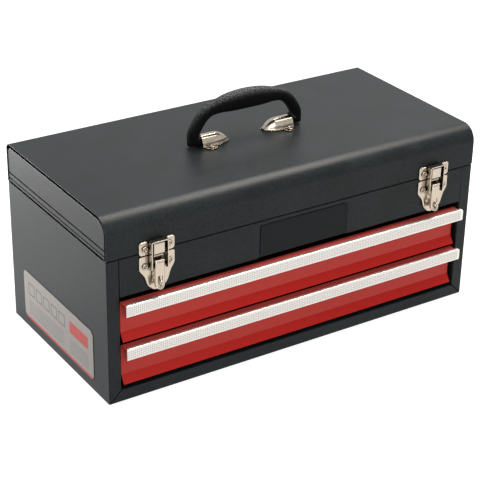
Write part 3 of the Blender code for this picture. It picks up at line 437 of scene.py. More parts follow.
def plate(colours, sizes):
    """Blank plate in a coat that is a little smoother than the case's."""
    finish = Finish("blank_plate")
    depth = 0.015 * MM
    ripple = finish.noise(sizes.peel, 2)
    speckle = finish.noise(sizes.peel / 4, 1)
    return finish.surface(
        Base_Color=finish.shade(colours.plate, 0.85 + speckle * 0.3),
        Roughness=0.34 + speckle * 0.08,
        Specular_IOR_Level=0.1,
        Normal=finish.bump(ripple + speckle * 0.3, depth),
    )


def paper(colours, sizes):
    """Printed film of a plain design of its own: two red blocks, a row of empty frames and faint rules."""
    finish = Finish("printed_film")
    low, high = corners("side_label")
    along = high.y - finish.axis("Y") / MM
    up = finish.axis("Z") / MM - low.z
    # Columns run forwards from the rear edge of the label, and rows up from its foot
    wide, narrow, whole = (12, 104), (120, 166), (-1, high.y - low.y + 1)
    lower, upper, bottom = (8, 29), (35, 51), (-1, 3.2)
    frame_width, frame_pitch, frame_line = 16, 20, 1.6
    rule_pitch, rule_width = 4.2, 1.5
    stain, haze, ripple, depth = 30 * MM, 8 * MM, 14 * MM, 0.05 * MM
    dark = (0.05, 0.052, 0.054)

    def block(columns, rows, line=0):
        """1 inside a block that is smaller than its columns and rows by a line on each side."""
        (start, stop), (foot, top) = columns, rows
        across = abs(along - (start + stop) / 2) < (stop - start) / 2 - line
        return across * (abs(up - (foot + top) / 2) < (top - foot) / 2 - line)

    def outlined(step):
        start = wide[0] + frame_pitch * step
        columns = start, start + frame_width
        return block(columns, upper) - block(columns, upper, frame_line)

    frames = outlined(0)
    for step in range(1, 5):
        frames = frames.at_least(outlined(step))
    rules = block(wide, lower).at_least(block(narrow, lower)) * (up % rule_pitch < rule_width)
    bars = block(narrow, upper).at_least(block(whole, bottom))
    printed = finish.shade(colours.film, 0.93 + finish.noise(stain, 2) * 0.14)
    for mask, colour in ((rules * 0.5, dark), (frames * 0.85, dark), (bars, colours.ink)):
        printed = finish.mix(mask, printed, colour)
    return finish.surface(
        Base_Color=printed,
        Roughness=0.42 + finish.noise(haze, 3) * 0.08,
        Specular_IOR_Level=0.3,
        Normal=finish.bump(finish.noise(ripple, 2), depth),
    )


FINISH_MAKERS = {
    "charcoal": charcoal, "red": red, "nickel": nickel, "aluminium": aluminium,
    "zinc": zinc, "grip": grip, "plate": plate, "paper": paper,
}
FINISHES = {}


def finish_of(slot):
    """The material of a slot, made when it is first asked for."""
    if slot not in FINISHES:
        scene = bpy.context.scene
        FINISHES[slot] = FINISH_MAKERS[slot](scene.tool_box_colours, scene.tool_box_sizes)
    return FINISHES[slot]


def bent(points, radii, turn=12):
    """A 2D line whose inner corners are arcs with a point every few degrees."""
    line = [Vector(points[0])]
    for before, corner, after, radius in zip(points, points[1:], points[2:], radii):
        corner = Vector(corner)
        towards = (Vector(before) - corner).normalized()
        away = (Vector(after) - corner).normalized()
        half = towards.angle(away) / 2
        centre = corner + (towards + away).normalized() * (radius / sin(half))
        first = corner + towards * (radius / tan(half)) - centre
        last = corner + away * (radius / tan(half)) - centre
        start = atan2(first.y, first.x)
        sweep = (atan2(last.y, last.x) - start + pi) % (2 * pi) - pi
        steps = max(3, ceil(abs(degrees(sweep)) / turn))
        for step in range(steps + 1):
            angle = start + sweep * step / steps
            line.append(centre + Vector((cos(angle), sin(angle))) * radius)
    line.append(Vector(points[-1]))
    return line


def ring(points, radii, turn=12):
    """A closed outline with rounded corners."""
    return bent([points[-1], *points, points[0]], radii, turn)[1:-1]


def rounded_rectangle(low, high, radius):
    """Closed outline of a rectangle between two opposite 2D corners."""
    (x0, y0), (x1, y1) = low, high
    return ring([(x0, y0), (x1, y0), (x1, y1), (x0, y1)], [radius] * 4)


def mirrored(half):
    """Closed outline from its right half, listed from top to bottom."""
    return half + [(-x, y) for x, y in half[::-1] if x > TINY]


def smooth_path(points, steps):
    """Points along a Catmull-Rom curve through the given ones."""
    knots = [Vector(point) for point in points]
    knots = [2 * knots[0] - knots[1], *knots, 2 * knots[-1] - knots[-2]]
    path = []
    for a, b, c, d in zip(knots, knots[1:], knots[2:], knots[3:]):
        for step in range(steps):
            t = step / steps
            bend = (2 * a - 5 * b + 4 * c - d) * t**2 + (3 * b - a - 3 * c + d) * t**3
            path.append((2 * b + (c - a) * t + bend) / 2)
    path.append(knots[-2])
    return path


def ramp(value, start, stop):
    """0 before start, 1 after stop, and a smooth rise between them."""
    t = min(max((value - start) / (stop - start), 0), 1)
    return t * t * (3 - 2 * t)


def net(rows, loop=False, keep=None, caps=False):
    """A mesh through rows of points.

    loop joins each row's ends, keep says which faces are made, and caps fill the first and last row.
    """
    bm = bmesh.new()
    grid = [[bm.verts.new(Vector(point) * MM) for point in row] for row in rows]
    width = len(grid[0])
    for r, (low, high) in enumerate(zip(grid, grid[1:])):
        for c in range(width if loop else width - 1):
            if keep is None or keep(r, c):
                d = (c + 1) % width
                bm.faces.new((low[c], low[d], high[d], high[c]))
    if caps:
        bm.faces.new(grid[0])
        bm.faces.new(grid[-1])
    loose = [vert for vert in bm.verts if not vert.link_faces]
    bmesh.ops.delete(bm, geom=loose, context="VERTS")
    bmesh.ops.recalc_face_normals(bm, faces=bm.faces)
    return bm


def slab(outline, depths, place):
    """A closed plate: an outline at two depths; place turns across, up and depth into x, y and z."""
    return net([[place(a, b, depth) for a, b in outline] for depth in depths], loop=True, caps=True)


def turned(line, place, sides=32):
    """A turned shape: points of radius and height about the depth axis of place."""
    angles = [2 * pi * side / sides for side in range(sides)]
    bm = net([[place(r * cos(a), r * sin(a), h) for a in angles] for r, h in line], loop=True)
    bmesh.ops.remove_doubles(bm, verts=bm.verts, dist=TINY * MM)
    bmesh.ops.recalc_face_normals(bm, faces=bm.faces)
    return bm


def soft_box(low, high, radius, segments=4):
    """A box with rounded edges between two corners."""
    bm = bmesh.new()
    bmesh.ops.create_cube(bm, size=1)
    low, high = Vector(low) * MM, Vector(high) * MM
    bmesh.ops.scale(bm, verts=bm.verts, vec=[abs(b - a) for a, b in zip(low, high)])
    bmesh.ops.translate(bm, verts=bm.verts, vec=(low + high) / 2)
    bmesh.ops.bevel(bm, geom=bm.edges[:], offset=radius * MM, segments=segments, profile=0.5, affect="EDGES")
    return bm


def add_object(name, data):
    """Adds an object of a mesh, a lamp or a camera to the scene."""
    obj = bpy.data.objects.new(name, data)
    bpy.context.scene.collection.objects.link(obj)
    return obj


def add_mesh(name, parts, slot):
    """Adds an object of joined parts, smooth and in the finish of a slot."""
    mesh = bpy.data.meshes.new(name)
    joined = bmesh.new()
    for part in parts:
        part.to_mesh(mesh)
        part.free()
        joined.from_mesh(mesh)
    for face in joined.faces:
        face.smooth = True
    joined.to_mesh(mesh)
    joined.free()
    mesh.materials.append(finish_of(slot))
    return add_object(name, mesh)


def add_piece(node, *parts, sheet=None, even=True, edge=0.0, segments=2):
    """Adds the finished piece of a CAD node, on the node's body and in its slot.

    sheet is a thickness and the direction that it grows in, and even keeps the thickness on sloping walls;
    edge is the width of softened edges.
    """
    obj = add_mesh(node + "_finished", parts, SLOTS[node])
    if sheet:
        thickness, grow = sheet
        facing = sum((face.normal * face.area for face in obj.data.polygons), Vector())
        solid = obj.modifiers.new("sheet", "SOLIDIFY")
        solid.thickness = thickness * MM
        solid.offset = 1 if facing.dot(grow) > 0 else -1
        solid.use_even_offset = even
        solid.use_quality_normals = True
    if edge:
        soften(obj, edge, segments)
    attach(obj, frame["nodes"][node]["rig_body"])
    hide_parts(node)
    return obj


def round_edges(obj, width, segments=2, angle=35):
    """Rounds the edges that turn by more than an angle in degrees."""
    bevel = obj.modifiers.new("edges", "BEVEL")
    bevel.width = width * MM
    bevel.segments = segments
    bevel.limit_method = "ANGLE"
    bevel.angle_limit = radians(angle)


def soften(obj, width, segments=2):
    """Rounds the sharp edges and keeps the flats flat in shading."""
    round_edges(obj, width, segments)
    weighted = obj.modifiers.new("shading", "WEIGHTED_NORMAL")
    weighted.keep_sharp = True


def sizes_in_mm():
    """Fold radius and softened edge width, in millimetres."""
    sizes = bpy.context.scene.tool_box_sizes
    return sizes.fold / MM, sizes.edge / MM


def drawn_out(line, low, high):
    """Sheet from a line of y and z, drawn out along X."""
    return net([[(x, y, z) for y, z in line] for x in (low, high)])


def case_sheet():
    """Sides, back and front stiles; the stiles end in a mitre above the front rail."""
    fold, edge = sizes_in_mm()
    lip, mitre_gap = 8, 0.9
    half = [(HALF - STILE, FRONT + lip), (HALF - STILE, FRONT), (HALF, FRONT), (HALF, BACK)]
    plan = bent([(-x, y) for x, y in half] + half[::-1], [fold] * 6)

    def foot(x, y):
        """Height at which the sheet starts: the mitre rises towards the middle of the front."""
        on_stile = y < FRONT + lip + 1 and abs(x) < HALF - 0.1
        return HALF - abs(x) + mitre_gap if on_stile else 0

    rows = [[(x, y, foot(x, y)) for x, y in plan], [(x, y, SEAM) for x, y in plan]]
    add_piece("case_wrap", net(rows), sheet=(SHEET, OUTWARDS), edge=edge)


def base_sheet():
    """Front rail, floor and back flange; the rail ends in a mitre under the stiles."""
    fold, edge = sizes_in_mm()
    rail, lip, flange, mitre_gap = 15, 10, 12, 0.7
    inner = HALF - SHEET - GAP
    back = BACK - SHEET - GAP
    section = bent([(FRONT + lip, rail), (FRONT, rail), (FRONT, 0), (back, 0), (back, flange)], [fold] * 3)
    ends = [min(inner, HALF - z - mitre_gap) if y < FRONT + lip + 1 else inner for y, z in section]
    rows = [[(side * x, y, z) for x, (y, z) in zip(ends, section)] for side in (-1, 1)]
    add_piece("bottom_pan", net(rows), sheet=(SHEET, UPWARDS), edge=edge)


def till_panel():
    """Panel over the drawers with a pressed recess, and the blank plate in it."""
    fold, edge = sizes_in_mm()
    low, high = corners("name_plate")
    margin, pressed, plate_corner = 1.5, 1.5, 1.6
    left, right, top = low.x - margin, high.x + margin, high.z + margin
    height, lip, ledge = 47, 10, 15
    half = HALF - STILE - GAP
    wall = (-1, 0.6)  # where the slope into the recess starts and ends, inwards from its outline
    near = [0.2 * step - 1.2 for step in range(11)]

    def depth(x, y, z):
        """How far the sheet is pressed in, with sloping walls at the sides and the top."""
        if y > FRONT + ledge - 2:
            return 0
        return pressed * prod(ramp(inside, *wall) for inside in (x - left, right - x, top - z))

    upper = bent([(FRONT + lip, SEAM), (FRONT, SEAM), (FRONT, top + 2)], [fold])
    middle = [(FRONT, top - step) for step in near]
    lower = bent([(FRONT, top - 2), (FRONT, SEAM - height), (FRONT + ledge, SEAM - height)], [fold])
    section = [*upper, *middle, *lower]
    columns = [-half, *(left + step for step in near), 0, *(right - step for step in near[::-1]), half]
    rows = [[(x, y + depth(x, y, z), z) for y, z in section] for x in columns]
    add_piece("till_front", net(rows), sheet=(SHEET, -OUTWARDS), edge=edge)
    outline = rounded_rectangle((low.x, low.z), (high.x, high.z), plate_corner)
    blank = slab(outline, (low.y, high.y), lambda x, z, y: (x, y, z))
    add_piece("name_plate", blank, edge=0.18)


def side_film():
    """Printed film on the left side, with clipped corners."""
    low, high = corners("side_label")
    clip = 4.5
    outline = [
        (low.y, low.z + clip), (low.y + clip, low.z), (high.y - clip, low.z), (high.y, low.z + clip),
        (high.y, high.z - clip), (high.y - clip, high.z), (low.y + clip, high.z), (low.y, high.z - clip),
    ]
    add_piece("side_label", slab(outline, (low.x, high.x), lambda y, z, x: (x, y, z)), edge=0.06)


def drawer(label):
    """Red front, knurled pull strip and tray of one drawer."""
    fold, edge = sizes_in_mm()
    low, high = corners(label + "_drawer_front")
    setback, recess, slope, drop = 0.5, 6.5, 1.2, 12
    face, nose = FRONT + recess, low.y + SHEET
    shelf = low.z + DRAWER_RISE - SHEET
    section = [
        (FRONT + setback, low.z), (face, low.z + FLARE), (face, shelf),
        (nose, shelf - slope), (nose, shelf - slope - drop),
    ]
    line = bent(section, [4, 2, fold], 6)
    add_piece(label + "_drawer_front", drawn_out(line, low.x, high.x), sheet=(SHEET, -OUTWARDS), edge=edge)

    low, high = corners(label + "_drawer_trim")
    strip, corner, shelf_depth = 0.9, 1.5, 14
    top = shelf + SHEET - slope + GAP + strip
    rise = slope * (high.y - low.y) / shelf_depth
    section = [(high.y, top + rise), (low.y, top), (low.y, low.z), (high.y, low.z)]
    profile = bent(section, [2.2, 2.0], 9)

    def cut(y, z):
        """How far the rounded end of the strip stays back at a point of its section."""
        away = corner - min(top - z, z - low.z, corner)
        return corner - sqrt(max(corner**2 - away**2, 0)) if y < low.y + 2.5 else corner

    ends = (-1, low.x), (1, high.x)
    rows = [[(x - side * cut(y, z), y, z) for y, z in profile] for side, x in ends]
    add_piece(label + "_drawer_trim", net(rows), sheet=(strip, -OUTWARDS), edge=edge)
    open_tray = tray(*corners(label + "_drawer_tray"))
    add_piece(label + "_drawer_tray", open_tray, sheet=(SHEET, UPWARDS), edge=edge)


def tray(low, high, corner=5, foot=1.6, steps=6):
    """An open tray with rounded corners and a rounded foot."""
    rows = []
    for step in range(steps + 1):
        angle = pi / 2 * step / steps
        inset = foot * (1 - sin(angle))
        ends = (low.x + inset, low.y + inset), (high.x - inset, high.y - inset)
        outline = rounded_rectangle(*ends, corner - inset)
        rows.append([(x, y, low.z + foot * (1 - cos(angle))) for x, y in outline])
    rows.append([(x, y, high.z) for x, y, _ in rows[-1]])
    bm = net(rows, loop=True)
    bm.verts.ensure_lookup_table()
    bm.faces.new(bm.verts[: len(rows[0])])
    bmesh.ops.recalc_face_normals(bm, faces=bm.faces)
    return bm


def lid_radii():
    """Outer radius of the lid's front and back edges, in millimetres."""
    sizes = bpy.context.scene.tool_box_sizes
    return sizes.lid_front / MM, sizes.lid_back / MM


def lid_sheet():
    """Front, rounded edges, top and back of the lid, with a hem at each foot."""
    fold, edge = sizes_in_mm()
    front, back = lid_radii()
    section = [
        (FRONT + HEM, LID_LOW), (FRONT, LID_LOW), (FRONT, LID_TOP),
        (BACK, LID_TOP), (BACK, LID_LOW), (BACK - HEM, LID_LOW),
    ]
    line = bent(section, [fold, front, back, fold], 4)
    add_piece("lid_wrap", drawn_out(line, -HALF, HALF), sheet=(SHEET, -UPWARDS), edge=edge)


def lid_end(name, side):
    """End panel that is raised out of a deep rim, with two grooves along its foot."""
    front, back = lid_radii()
    inset = SHEET + GAP
    front, back = front - inset, back - inset
    ahead, behind, top = FRONT + inset, BACK - inset, LID_TOP - inset
    set_in = 1.0
    panel = HALF - set_in
    rim, wall, deep, groove_wall = 3.4, 0.8, 7.0, 0.12
    rim_loss = 3.5  # how much narrower the rim is along the back
    above_hem = LID_LOW + 1.15
    grooves = ((11.3, 0.85, 3.7), (4.5, 0.65, 3.4))  # height, half width and depth of each

    def limits(z):
        """Front and back end of the panel at a height."""
        if z < above_hem:
            return FRONT + HEM + GAP, BACK - HEM - GAP
        low = ahead + front - sqrt(max(front**2 - max(z - top + front, 0) ** 2, 0))
        high = behind - back + sqrt(max(back**2 - max(z - top + back, 0) ** 2, 0))
        return low, high

    def distance(y, z):
        """Distance from the edge of the panel."""
        if z < above_hem:
            return rim + wall
        reach = [y - ahead, behind - y + rim_loss, top - z]
        if y < ahead + front and z > top - front:
            reach.append(front - hypot(y - ahead - front, z - top + front))
        if y > behind - back and z > top - back:
            reach.append(back - hypot(y - behind + back, z - top + back))
        return max(min(reach), 0)

    def inwards(y, z):
        """How far the rim and the grooves lie behind the face of the panel."""
        past = min(max((distance(y, z) - rim) / wall, 0), 1)
        depth = deep * (1 - past) ** 3 if past > 0.02 else deep
        for up, half, groove in grooves:
            depth += groove * (1 - ramp(abs(z - LID_LOW - up), half, half + groove_wall))
        return depth

    # The sheet has more points near its ends, in millimetres, and round a groove, in its half widths
    near = [0, 0.9, 1.5, 3.3, 3.4, 3.45, 3.55, 3.7, 3.85, 4.0, 4.2, 4.5, 5.2, 6.5, 9, 14]
    round_groove = [way * share for share in (0, 1, 1.1, 1.2, 1.25, 1.5) for way in (-1, 1)]
    levels = [LID_LOW + a for a in (0.9, 1.1, 1.2, 2, 3.2, 16, 22)]
    levels += [LID_LOW + up + half * share for up, half, _ in grooves for share in round_groove]
    levels += [top - front + front * sin(pi / 2 * step / 24) for step in range(20)]
    levels += [top - a for a in near[:-3]]
    levels = sorted({round(level, 4) for level in levels})
    hem = ((9, 0), (0.9, 0), (0.45, 0.12), (0.12, 0.45))  # inwards from the panel, and up
    rows = [[(side * (panel - x), y, LID_LOW + z) for y in spread(*limits(LID_LOW), near)] for x, z in hem]
    rows += [[(side * (panel - inwards(y, z)), y, z) for y in spread(*limits(z), near)] for z in levels]
    add_piece("lid_end_" + name, net(rows), sheet=(SHEET, Vector((-side, 0, 0))), even=False)


def spread(low, high, near, steps=12):
    """Places from low to high that are dense at both ends."""
    reach = min(1, (high - low) / 2 / near[-1])
    ends = [reach * step for step in near]
    inner = [low + ends[-1] + (high - low - 2 * ends[-1]) * step / steps for step in range(1, steps)]
    return [*(low + step for step in ends), *inner, *(high - step for step in ends[::-1])]


def hinge_leaf(node, up, first):
    """One leaf: a strip on which every second knuckle curls round the pin."""
    pin_low, pin_high = corners("hinge_pin")
    centre_y, centre_z = (pin_low.y + pin_high.y) / 2, (pin_low.z + pin_high.z) / 2
    knuckles, bore, sheet, gap, leaf = 15, 1.8, 0.9, 0.5, 20
    curl, steps = radians(300), 26
    pitch = 2 * pin_high.x / knuckles
    columns = []
    for index in range(knuckles):
        start = index * pitch - pin_high.x
        columns += [start + gap / 2, start + pitch - gap / 2]
    line = [(-bore, -leaf), (-bore, -bore - sheet - gap)]
    for step in range(steps + 1):
        angle = pi - curl * step / steps
        line.append((bore * cos(angle), bore * sin(angle)))

    def keep(row, column):
        """The strip runs through, and the curl is there on every second knuckle."""
        return column == 0 or (row % 2 == 0 and row // 2 % 2 == first)

    rows = [[(x, centre_y + y, centre_z + z * up) for y, z in line] for x in columns]
    add_piece(node, net(rows, keep=keep), sheet=(sheet, OUTWARDS), edge=0.12)


def at_latch(side):
    """Places on one latch: across from its middle, up from the seam, out from the front."""
    return lambda x, up, out: (side * LATCH_X + x, FRONT - out, SEAM + up)


def rivet(node, place, grip_length):
    """Tubular rivet: a rolled rim round a hollow outside, and a flattened tail inside."""
    head, shank, tail, tail_height = 3.3, 1.5, 2.3, 0.8
    rolled = [pi - pi * step / 12 for step in range(13)]
    line = [(0, 0.1), (0.5, 0), (1.2, -0.1), (1.9, 0), (2.2, 0.4)]
    line += [(head - 0.55 + 0.55 * cos(a), 0.85 + 0.65 * sin(a)) for a in rolled]
    line += [(head, 0), (head, -GAP), (shank, -GAP), (shank, -grip_length), (tail, -grip_length)]
    line += [(tail, -grip_length - tail_height), (0, -grip_length - tail_height)]
    add_piece(node, turned(line, place, 40))


def cross_pin(node, side, half, up, out):
    """Pin along X with a small rounded head at both ends."""
    place = at_latch(side)
    shank, head = 1.1, 1.7
    line = [(0, half + 0.7), (1.2, half + 0.7), (1.6, half + 0.5), (head, half + 0.25)]
    line += [(head, half), (shank, half)]
    line += [(radius, -height) for radius, height in line[::-1]]
    add_piece(node, turned(line, lambda a, b, h: place(h, up + b, out + a), 24))


def keeper(name, side):
    """Plate with two riveted ears and the boss that the link hooks over."""
    place = at_latch(side)
    half = [(11.4, 10.6), (12.4, 14.5), (22.2, 14.5), (22.2, -2)]
    radii = [1.2, 1.8, 3.2, 3.6]
    back, face = 0.3, 1.5
    base = slab(ring(mirrored(half), radii + radii[::-1]), (back, face), place)
    boss_half, boss_low, boss_top, boss_out, boss_round = 7.4, -1.4, 12.8, 7.5, 1.7
    inner = back + 0.6
    boss = soft_box(place(-boss_half, boss_low, boss_out), place(boss_half, boss_top, inner), boss_round)
    lip_half, lip_low, lip_top, lip_out, lip_round = 4.1, 11.7, 14.2, 2.3, 0.7
    inner = back + 0.5
    lips = [
        soft_box(place(x - lip_half, lip_low, lip_out), place(x + lip_half, lip_top, inner), lip_round, 3)
        for x in (-16.6, 16.6)
    ]
    add_piece("keeper_" + name, base, boss, *lips, edge=0.35, segments=3)


def latch_base(name, side):
    """Tapered plate whose lower edges turn outwards, with ears for the lever and a padlock staple."""
    place = at_latch(side)
    top, length, sheet, stand = 3.6, 43.3, 1.2, 1.5
    dished, rolled = 1.1, 0.25  # how far the lower edges turn outwards, and roll back at their rim
    outline = [  # share of the length, and half width
        (0.0, 19.6), (0.004, 20.6), (0.012, 21.4), (0.03, 22.0), (0.06, 22.2), (0.2, 22.2), (0.34, 22.1),
        (0.39, 21.4), (0.44, 19.9), (0.5, 17.9), (0.565, 16.2), (0.64, 15.0), (0.72, 14.0), (0.79, 12.8),
        (0.85, 11.2), (0.9, 9.3), (0.94, 7.6), (0.965, 6.4), (0.983, 4.9), (0.995, 2.8), (1.0, 0.6),
    ]
    rows = []
    for down, width in [tuple(point) for point in smooth_path(outline, 3)]:
        dish = dished * ramp(down, 0.38, 0.62) * (1 - ramp(down, 0.84, 0.96))
        row = []
        for share in (step / 10 for step in range(-10, 11)):
            swell = dish * ramp(abs(share), 0.55, 1.0) - rolled * ramp(abs(share), 0.93, 1.0)
            row.append(place(share * width, -top - length * down, stand + swell))
        rows.append(row)
    shell = add_piece("latch_base_" + name, net(rows), sheet=(sheet, -OUTWARDS), edge=0.2)

    ear_out, ear_up, ear_radius, root = 4.6, -10.5, 2.5, 0.9
    half_turn = [pi * step / 12 - pi / 2 for step in range(13)]
    line = [(ear_out + ear_radius * cos(a), ear_up + ear_radius * sin(a)) for a in half_turn]
    line = [(root, ear_up - ear_radius), *line, (root, ear_up + ear_radius)]
    ears = [slab(line, (x, x + sheet), lambda out, up, x: place(x, up, out)) for x in (-4.4, 3.2)]
    half, radius, roll_up, roll_out = 6, 1.75, -3.9, 3.6
    roll = [(0, half), (1.2, half), (1.6, half - 0.2), (radius, half - 0.6)]
    roll += [(r, -h) for r, h in roll[::-1]]
    barrel = turned(roll, lambda a, b, h: place(h, roll_up + b, roll_out + a), 28)
    fittings = add_mesh("latch_fittings_" + name, [*ears, padlock_staple(place), barrel], "nickel")
    soften(fittings, 0.18)
    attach(fittings, shell["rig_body"])


def padlock_staple(place):
    """Flat eye that stands out through the slot of the lever."""
    count, half_sheet = 40, 0.7
    up, out, hole, eye, root = -36.5, 9.6, 2.1, 3.8, 8.7
    rows = []
    for x in (-half_sheet, half_sheet):
        inner, outer = [], []
        for step in range(count):
            a = 2 * pi * step / count
            c, s = cos(a), sin(a)
            inner.append(place(x, up + hole * s, out + hole * c))
            reach = eye if c > 0 else min(eye / max(abs(s), 0.01), root / max(-c, 0.01))
            outer.append(place(x, up + reach * s, out + reach * c * (0.9 if c > 0 else 1)))
        rows.append((inner, outer))
    (near_in, near_out), (far_in, far_out) = rows
    return net([near_in, near_out, far_out, far_in, near_in], loop=True)


def lever(name, side):
    """Channel-shaped pull lever with a rolled top, a slot and a kicked-out foot."""
    place = at_latch(side)
    top, length, width, out, root = 8.2, 37.3, 6, 8.6, 1.8
    slot_top, slot_low, slot_half, slot_round = 28.0, 42.3, 3.0, 1.6
    squeeze, kicked = 0.95, 0.7  # scale of the stations' places and of how far they stand out
    taper, narrowest = 5, 0.12  # length of the narrow foot, and share of the width at its end
    stations = [  # down from the top, how far the face stands out, and share of the channel's depth
        (0.0, -1.6, 0.66), (0.1, -0.7, 0.8), (0.35, 0.0, 0.9), (0.8, 0.5, 0.96), (1.4, 0.7, 1),
        (2.0, 0.6, 1), (2.5, 0.25, 1), (2.9, -0.35, 1), (3.3, -0.45, 1), (3.7, -0.15, 1), (4.3, 0, 1),
        (7, 0, 1), (12.3, 0, 1), (14, 0, 0.9), (16.5, 0, 0.72), (18.5, 0, 0.58), (19.4, 0, 0.54),
        (19.8, 0, 0.53), (20.4, 0, 0.52), (21.4, 0, 0.51), (26, 0, 0.48), (31, 0, 0.46),
        (32.2, 0.2, 0.45), (33.2, 0.45, 0.42), (33.8, 0.8, 0.4), (34.1, 1.0, 0.38), (34.7, 1.45, 0.35),
        (35.4, 2.0, 0.33), (36.1, 2.45, 0.31), (36.7, 2.75, 0.29), (37.1, 2.92, 0.28), (length, 3.0, 0.28),
    ]

    def slot_edge(down):
        """Half width of the slot, which is round at both ends."""
        inside = min(max(down - (slot_top - top), 0), max(slot_low - top - down, 0), slot_round)
        return slot_half * sqrt(max(0, 1 - (1 - inside / slot_round) ** 2))

    rows = []
    for down, kick, depth in stations:
        front = out + kick * kicked
        inner = front - (out - root) * depth
        reach = min(max((length - down) / taper, 0), 1)
        half = width * (narrowest + (1 - narrowest) * sqrt(reach * (2 - reach)))
        section = bent([(-half, inner), (-half, front), (0, front)], [min(1.6, half / 2)], 15)[:-1]
        gap = max(slot_edge(down), 0.05)
        columns = [*section, Vector((-(gap + half) / 2 + 0.4, front)), Vector((-gap, front))]
        columns += [Vector((-x, y)) for x, y in columns[::-1]]
        rows.append([place(x, -top - down * squeeze, y) for x, y in columns])
    middle = len(rows[0]) // 2 - 1
    slot = slot_top - top - 0.01, slot_low - top + 0.01
    inside = [slot[0] <= upper[0] and lower[0] <= slot[1] for upper, lower in zip(stations, stations[1:])]

    def keep(row, column):
        """Leaves the slot open."""
        return not (column == middle and inside[row])

    add_piece("lever_" + name, net(rows, keep=keep), sheet=(1.2, -OUTWARDS), edge=0.22)


def link(name, side):
    """Loop of strip that hooks over the boss, with rounded feet on the lever's pin."""
    place = at_latch(side)
    half, foot, top, out, foot_round = 10.75, -20.5, 15.2, 5.5, 3.5
    profile = bent([(-half, foot), (-half, top), (half, top), (half, foot)], [2.4, 2.4], 9)
    feet = [Vector((-half, foot + up)) for up in (0, 0.15, 0.5, 1.1, 1.9, 2.7, foot_round)]
    profile = [*feet, *profile[1:-1], *(Vector((-x, up)) for x, up in feet[::-1])]
    rows = []
    for share in (-1, -0.5, 0, 0.5, 1):
        row = []
        for x, up in profile:
            reach = min(up - foot, foot_round)
            depth = max(sqrt(foot_round**2 - (foot_round - reach) ** 2), 0.3)
            row.append(place(x, up, out + share * depth))
        rows.append(row)
    add_piece("link_" + name, net(rows), sheet=(1.2, -UPWARDS), edge=0.3)


def latch(name, side):
    """One draw latch with its pins and rivets."""
    keeper(name, side)
    latch_base(name, side)
    lever(name, side)
    link(name, side)
    cross_pin("pivot_pin_" + name, side, half=6.3, up=-10.5, out=4.6)
    cross_pin("link_pin_" + name, side, half=11.05, up=-17.5, out=3.7)
    place = at_latch(side)
    seat = 1.8
    for label, step in SIDES:
        for plate_name, up in (("keeper", 5.8), ("base", -15.2)):
            rivet(
                f"{plate_name}_rivet_{name}_{label}",
                lambda a, b, h: place(step * RIVET_OFFSET + a, up + b, seat + h), grip_length=2.9,
            )


def bracket(name, side):
    """Pressed shell with a raised rib and a riveted lug on each side."""
    low, high = corners("bracket_" + name)
    outer = high.x if side > 0 else -low.x
    length, height, half_width, flange, sheet = 38.5, 12.8, 9.5, 2.6, 1.1
    lug_along, lug_out, lug_radius = 9, 12.5, 8
    rib_height, rib_at, rib_spread = 0.5, 42, 5  # the last two are in degrees off the top
    less_rise, less_width, less_flange = 0.88, 0.72, 0.3  # shares that are lost at the tip
    stations, facets = 48, 32
    seat = LID_TOP + GAP + sheet
    rows = []
    for station in range(stations + 1):
        along = length * station / stations
        closing = max(0, 2 * along / length - 1) ** 2
        rise = (height - sheet) * (1 - closing * less_rise)
        half = half_width * (1 - closing * less_width)
        edge = half + flange * (1 - closing * less_flange)
        bulge = lug_radius**2 - (along - lug_along) ** 2
        if bulge > 0:
            edge = max(edge, lug_out + sqrt(bulge))
        x = side * (outer - along)
        foot = half + 0.5
        row = [(x, -y, seat) for y in (edge, (edge + foot) / 2, foot)]
        for step in range(1, facets):
            angle = pi - pi * step / facets
            off = abs(degrees(angle) - 90)
            rib = rib_height * exp(-((off - rib_at) / rib_spread) ** 2) * (1 - closing)
            row.append((x, (half + rib) * cos(angle), seat + (rise + rib) * sin(angle) ** 0.9))
        row += [(x, -y, z) for x, y, z in row[2::-1]]
        rows.append(row)
    add_piece("bracket_" + name, net(rows), sheet=(sheet, -UPWARDS), edge=0.25)
    for label, step in (("front", -1), ("back", 1)):
        x, y = side * (outer - lug_along), step * RIVET_OFFSET
        rivet(
            f"bracket_rivet_{name}_{label}",
            lambda a, b, h: (x + a, y + b, seat + GAP + h), grip_length=4.3,
        )


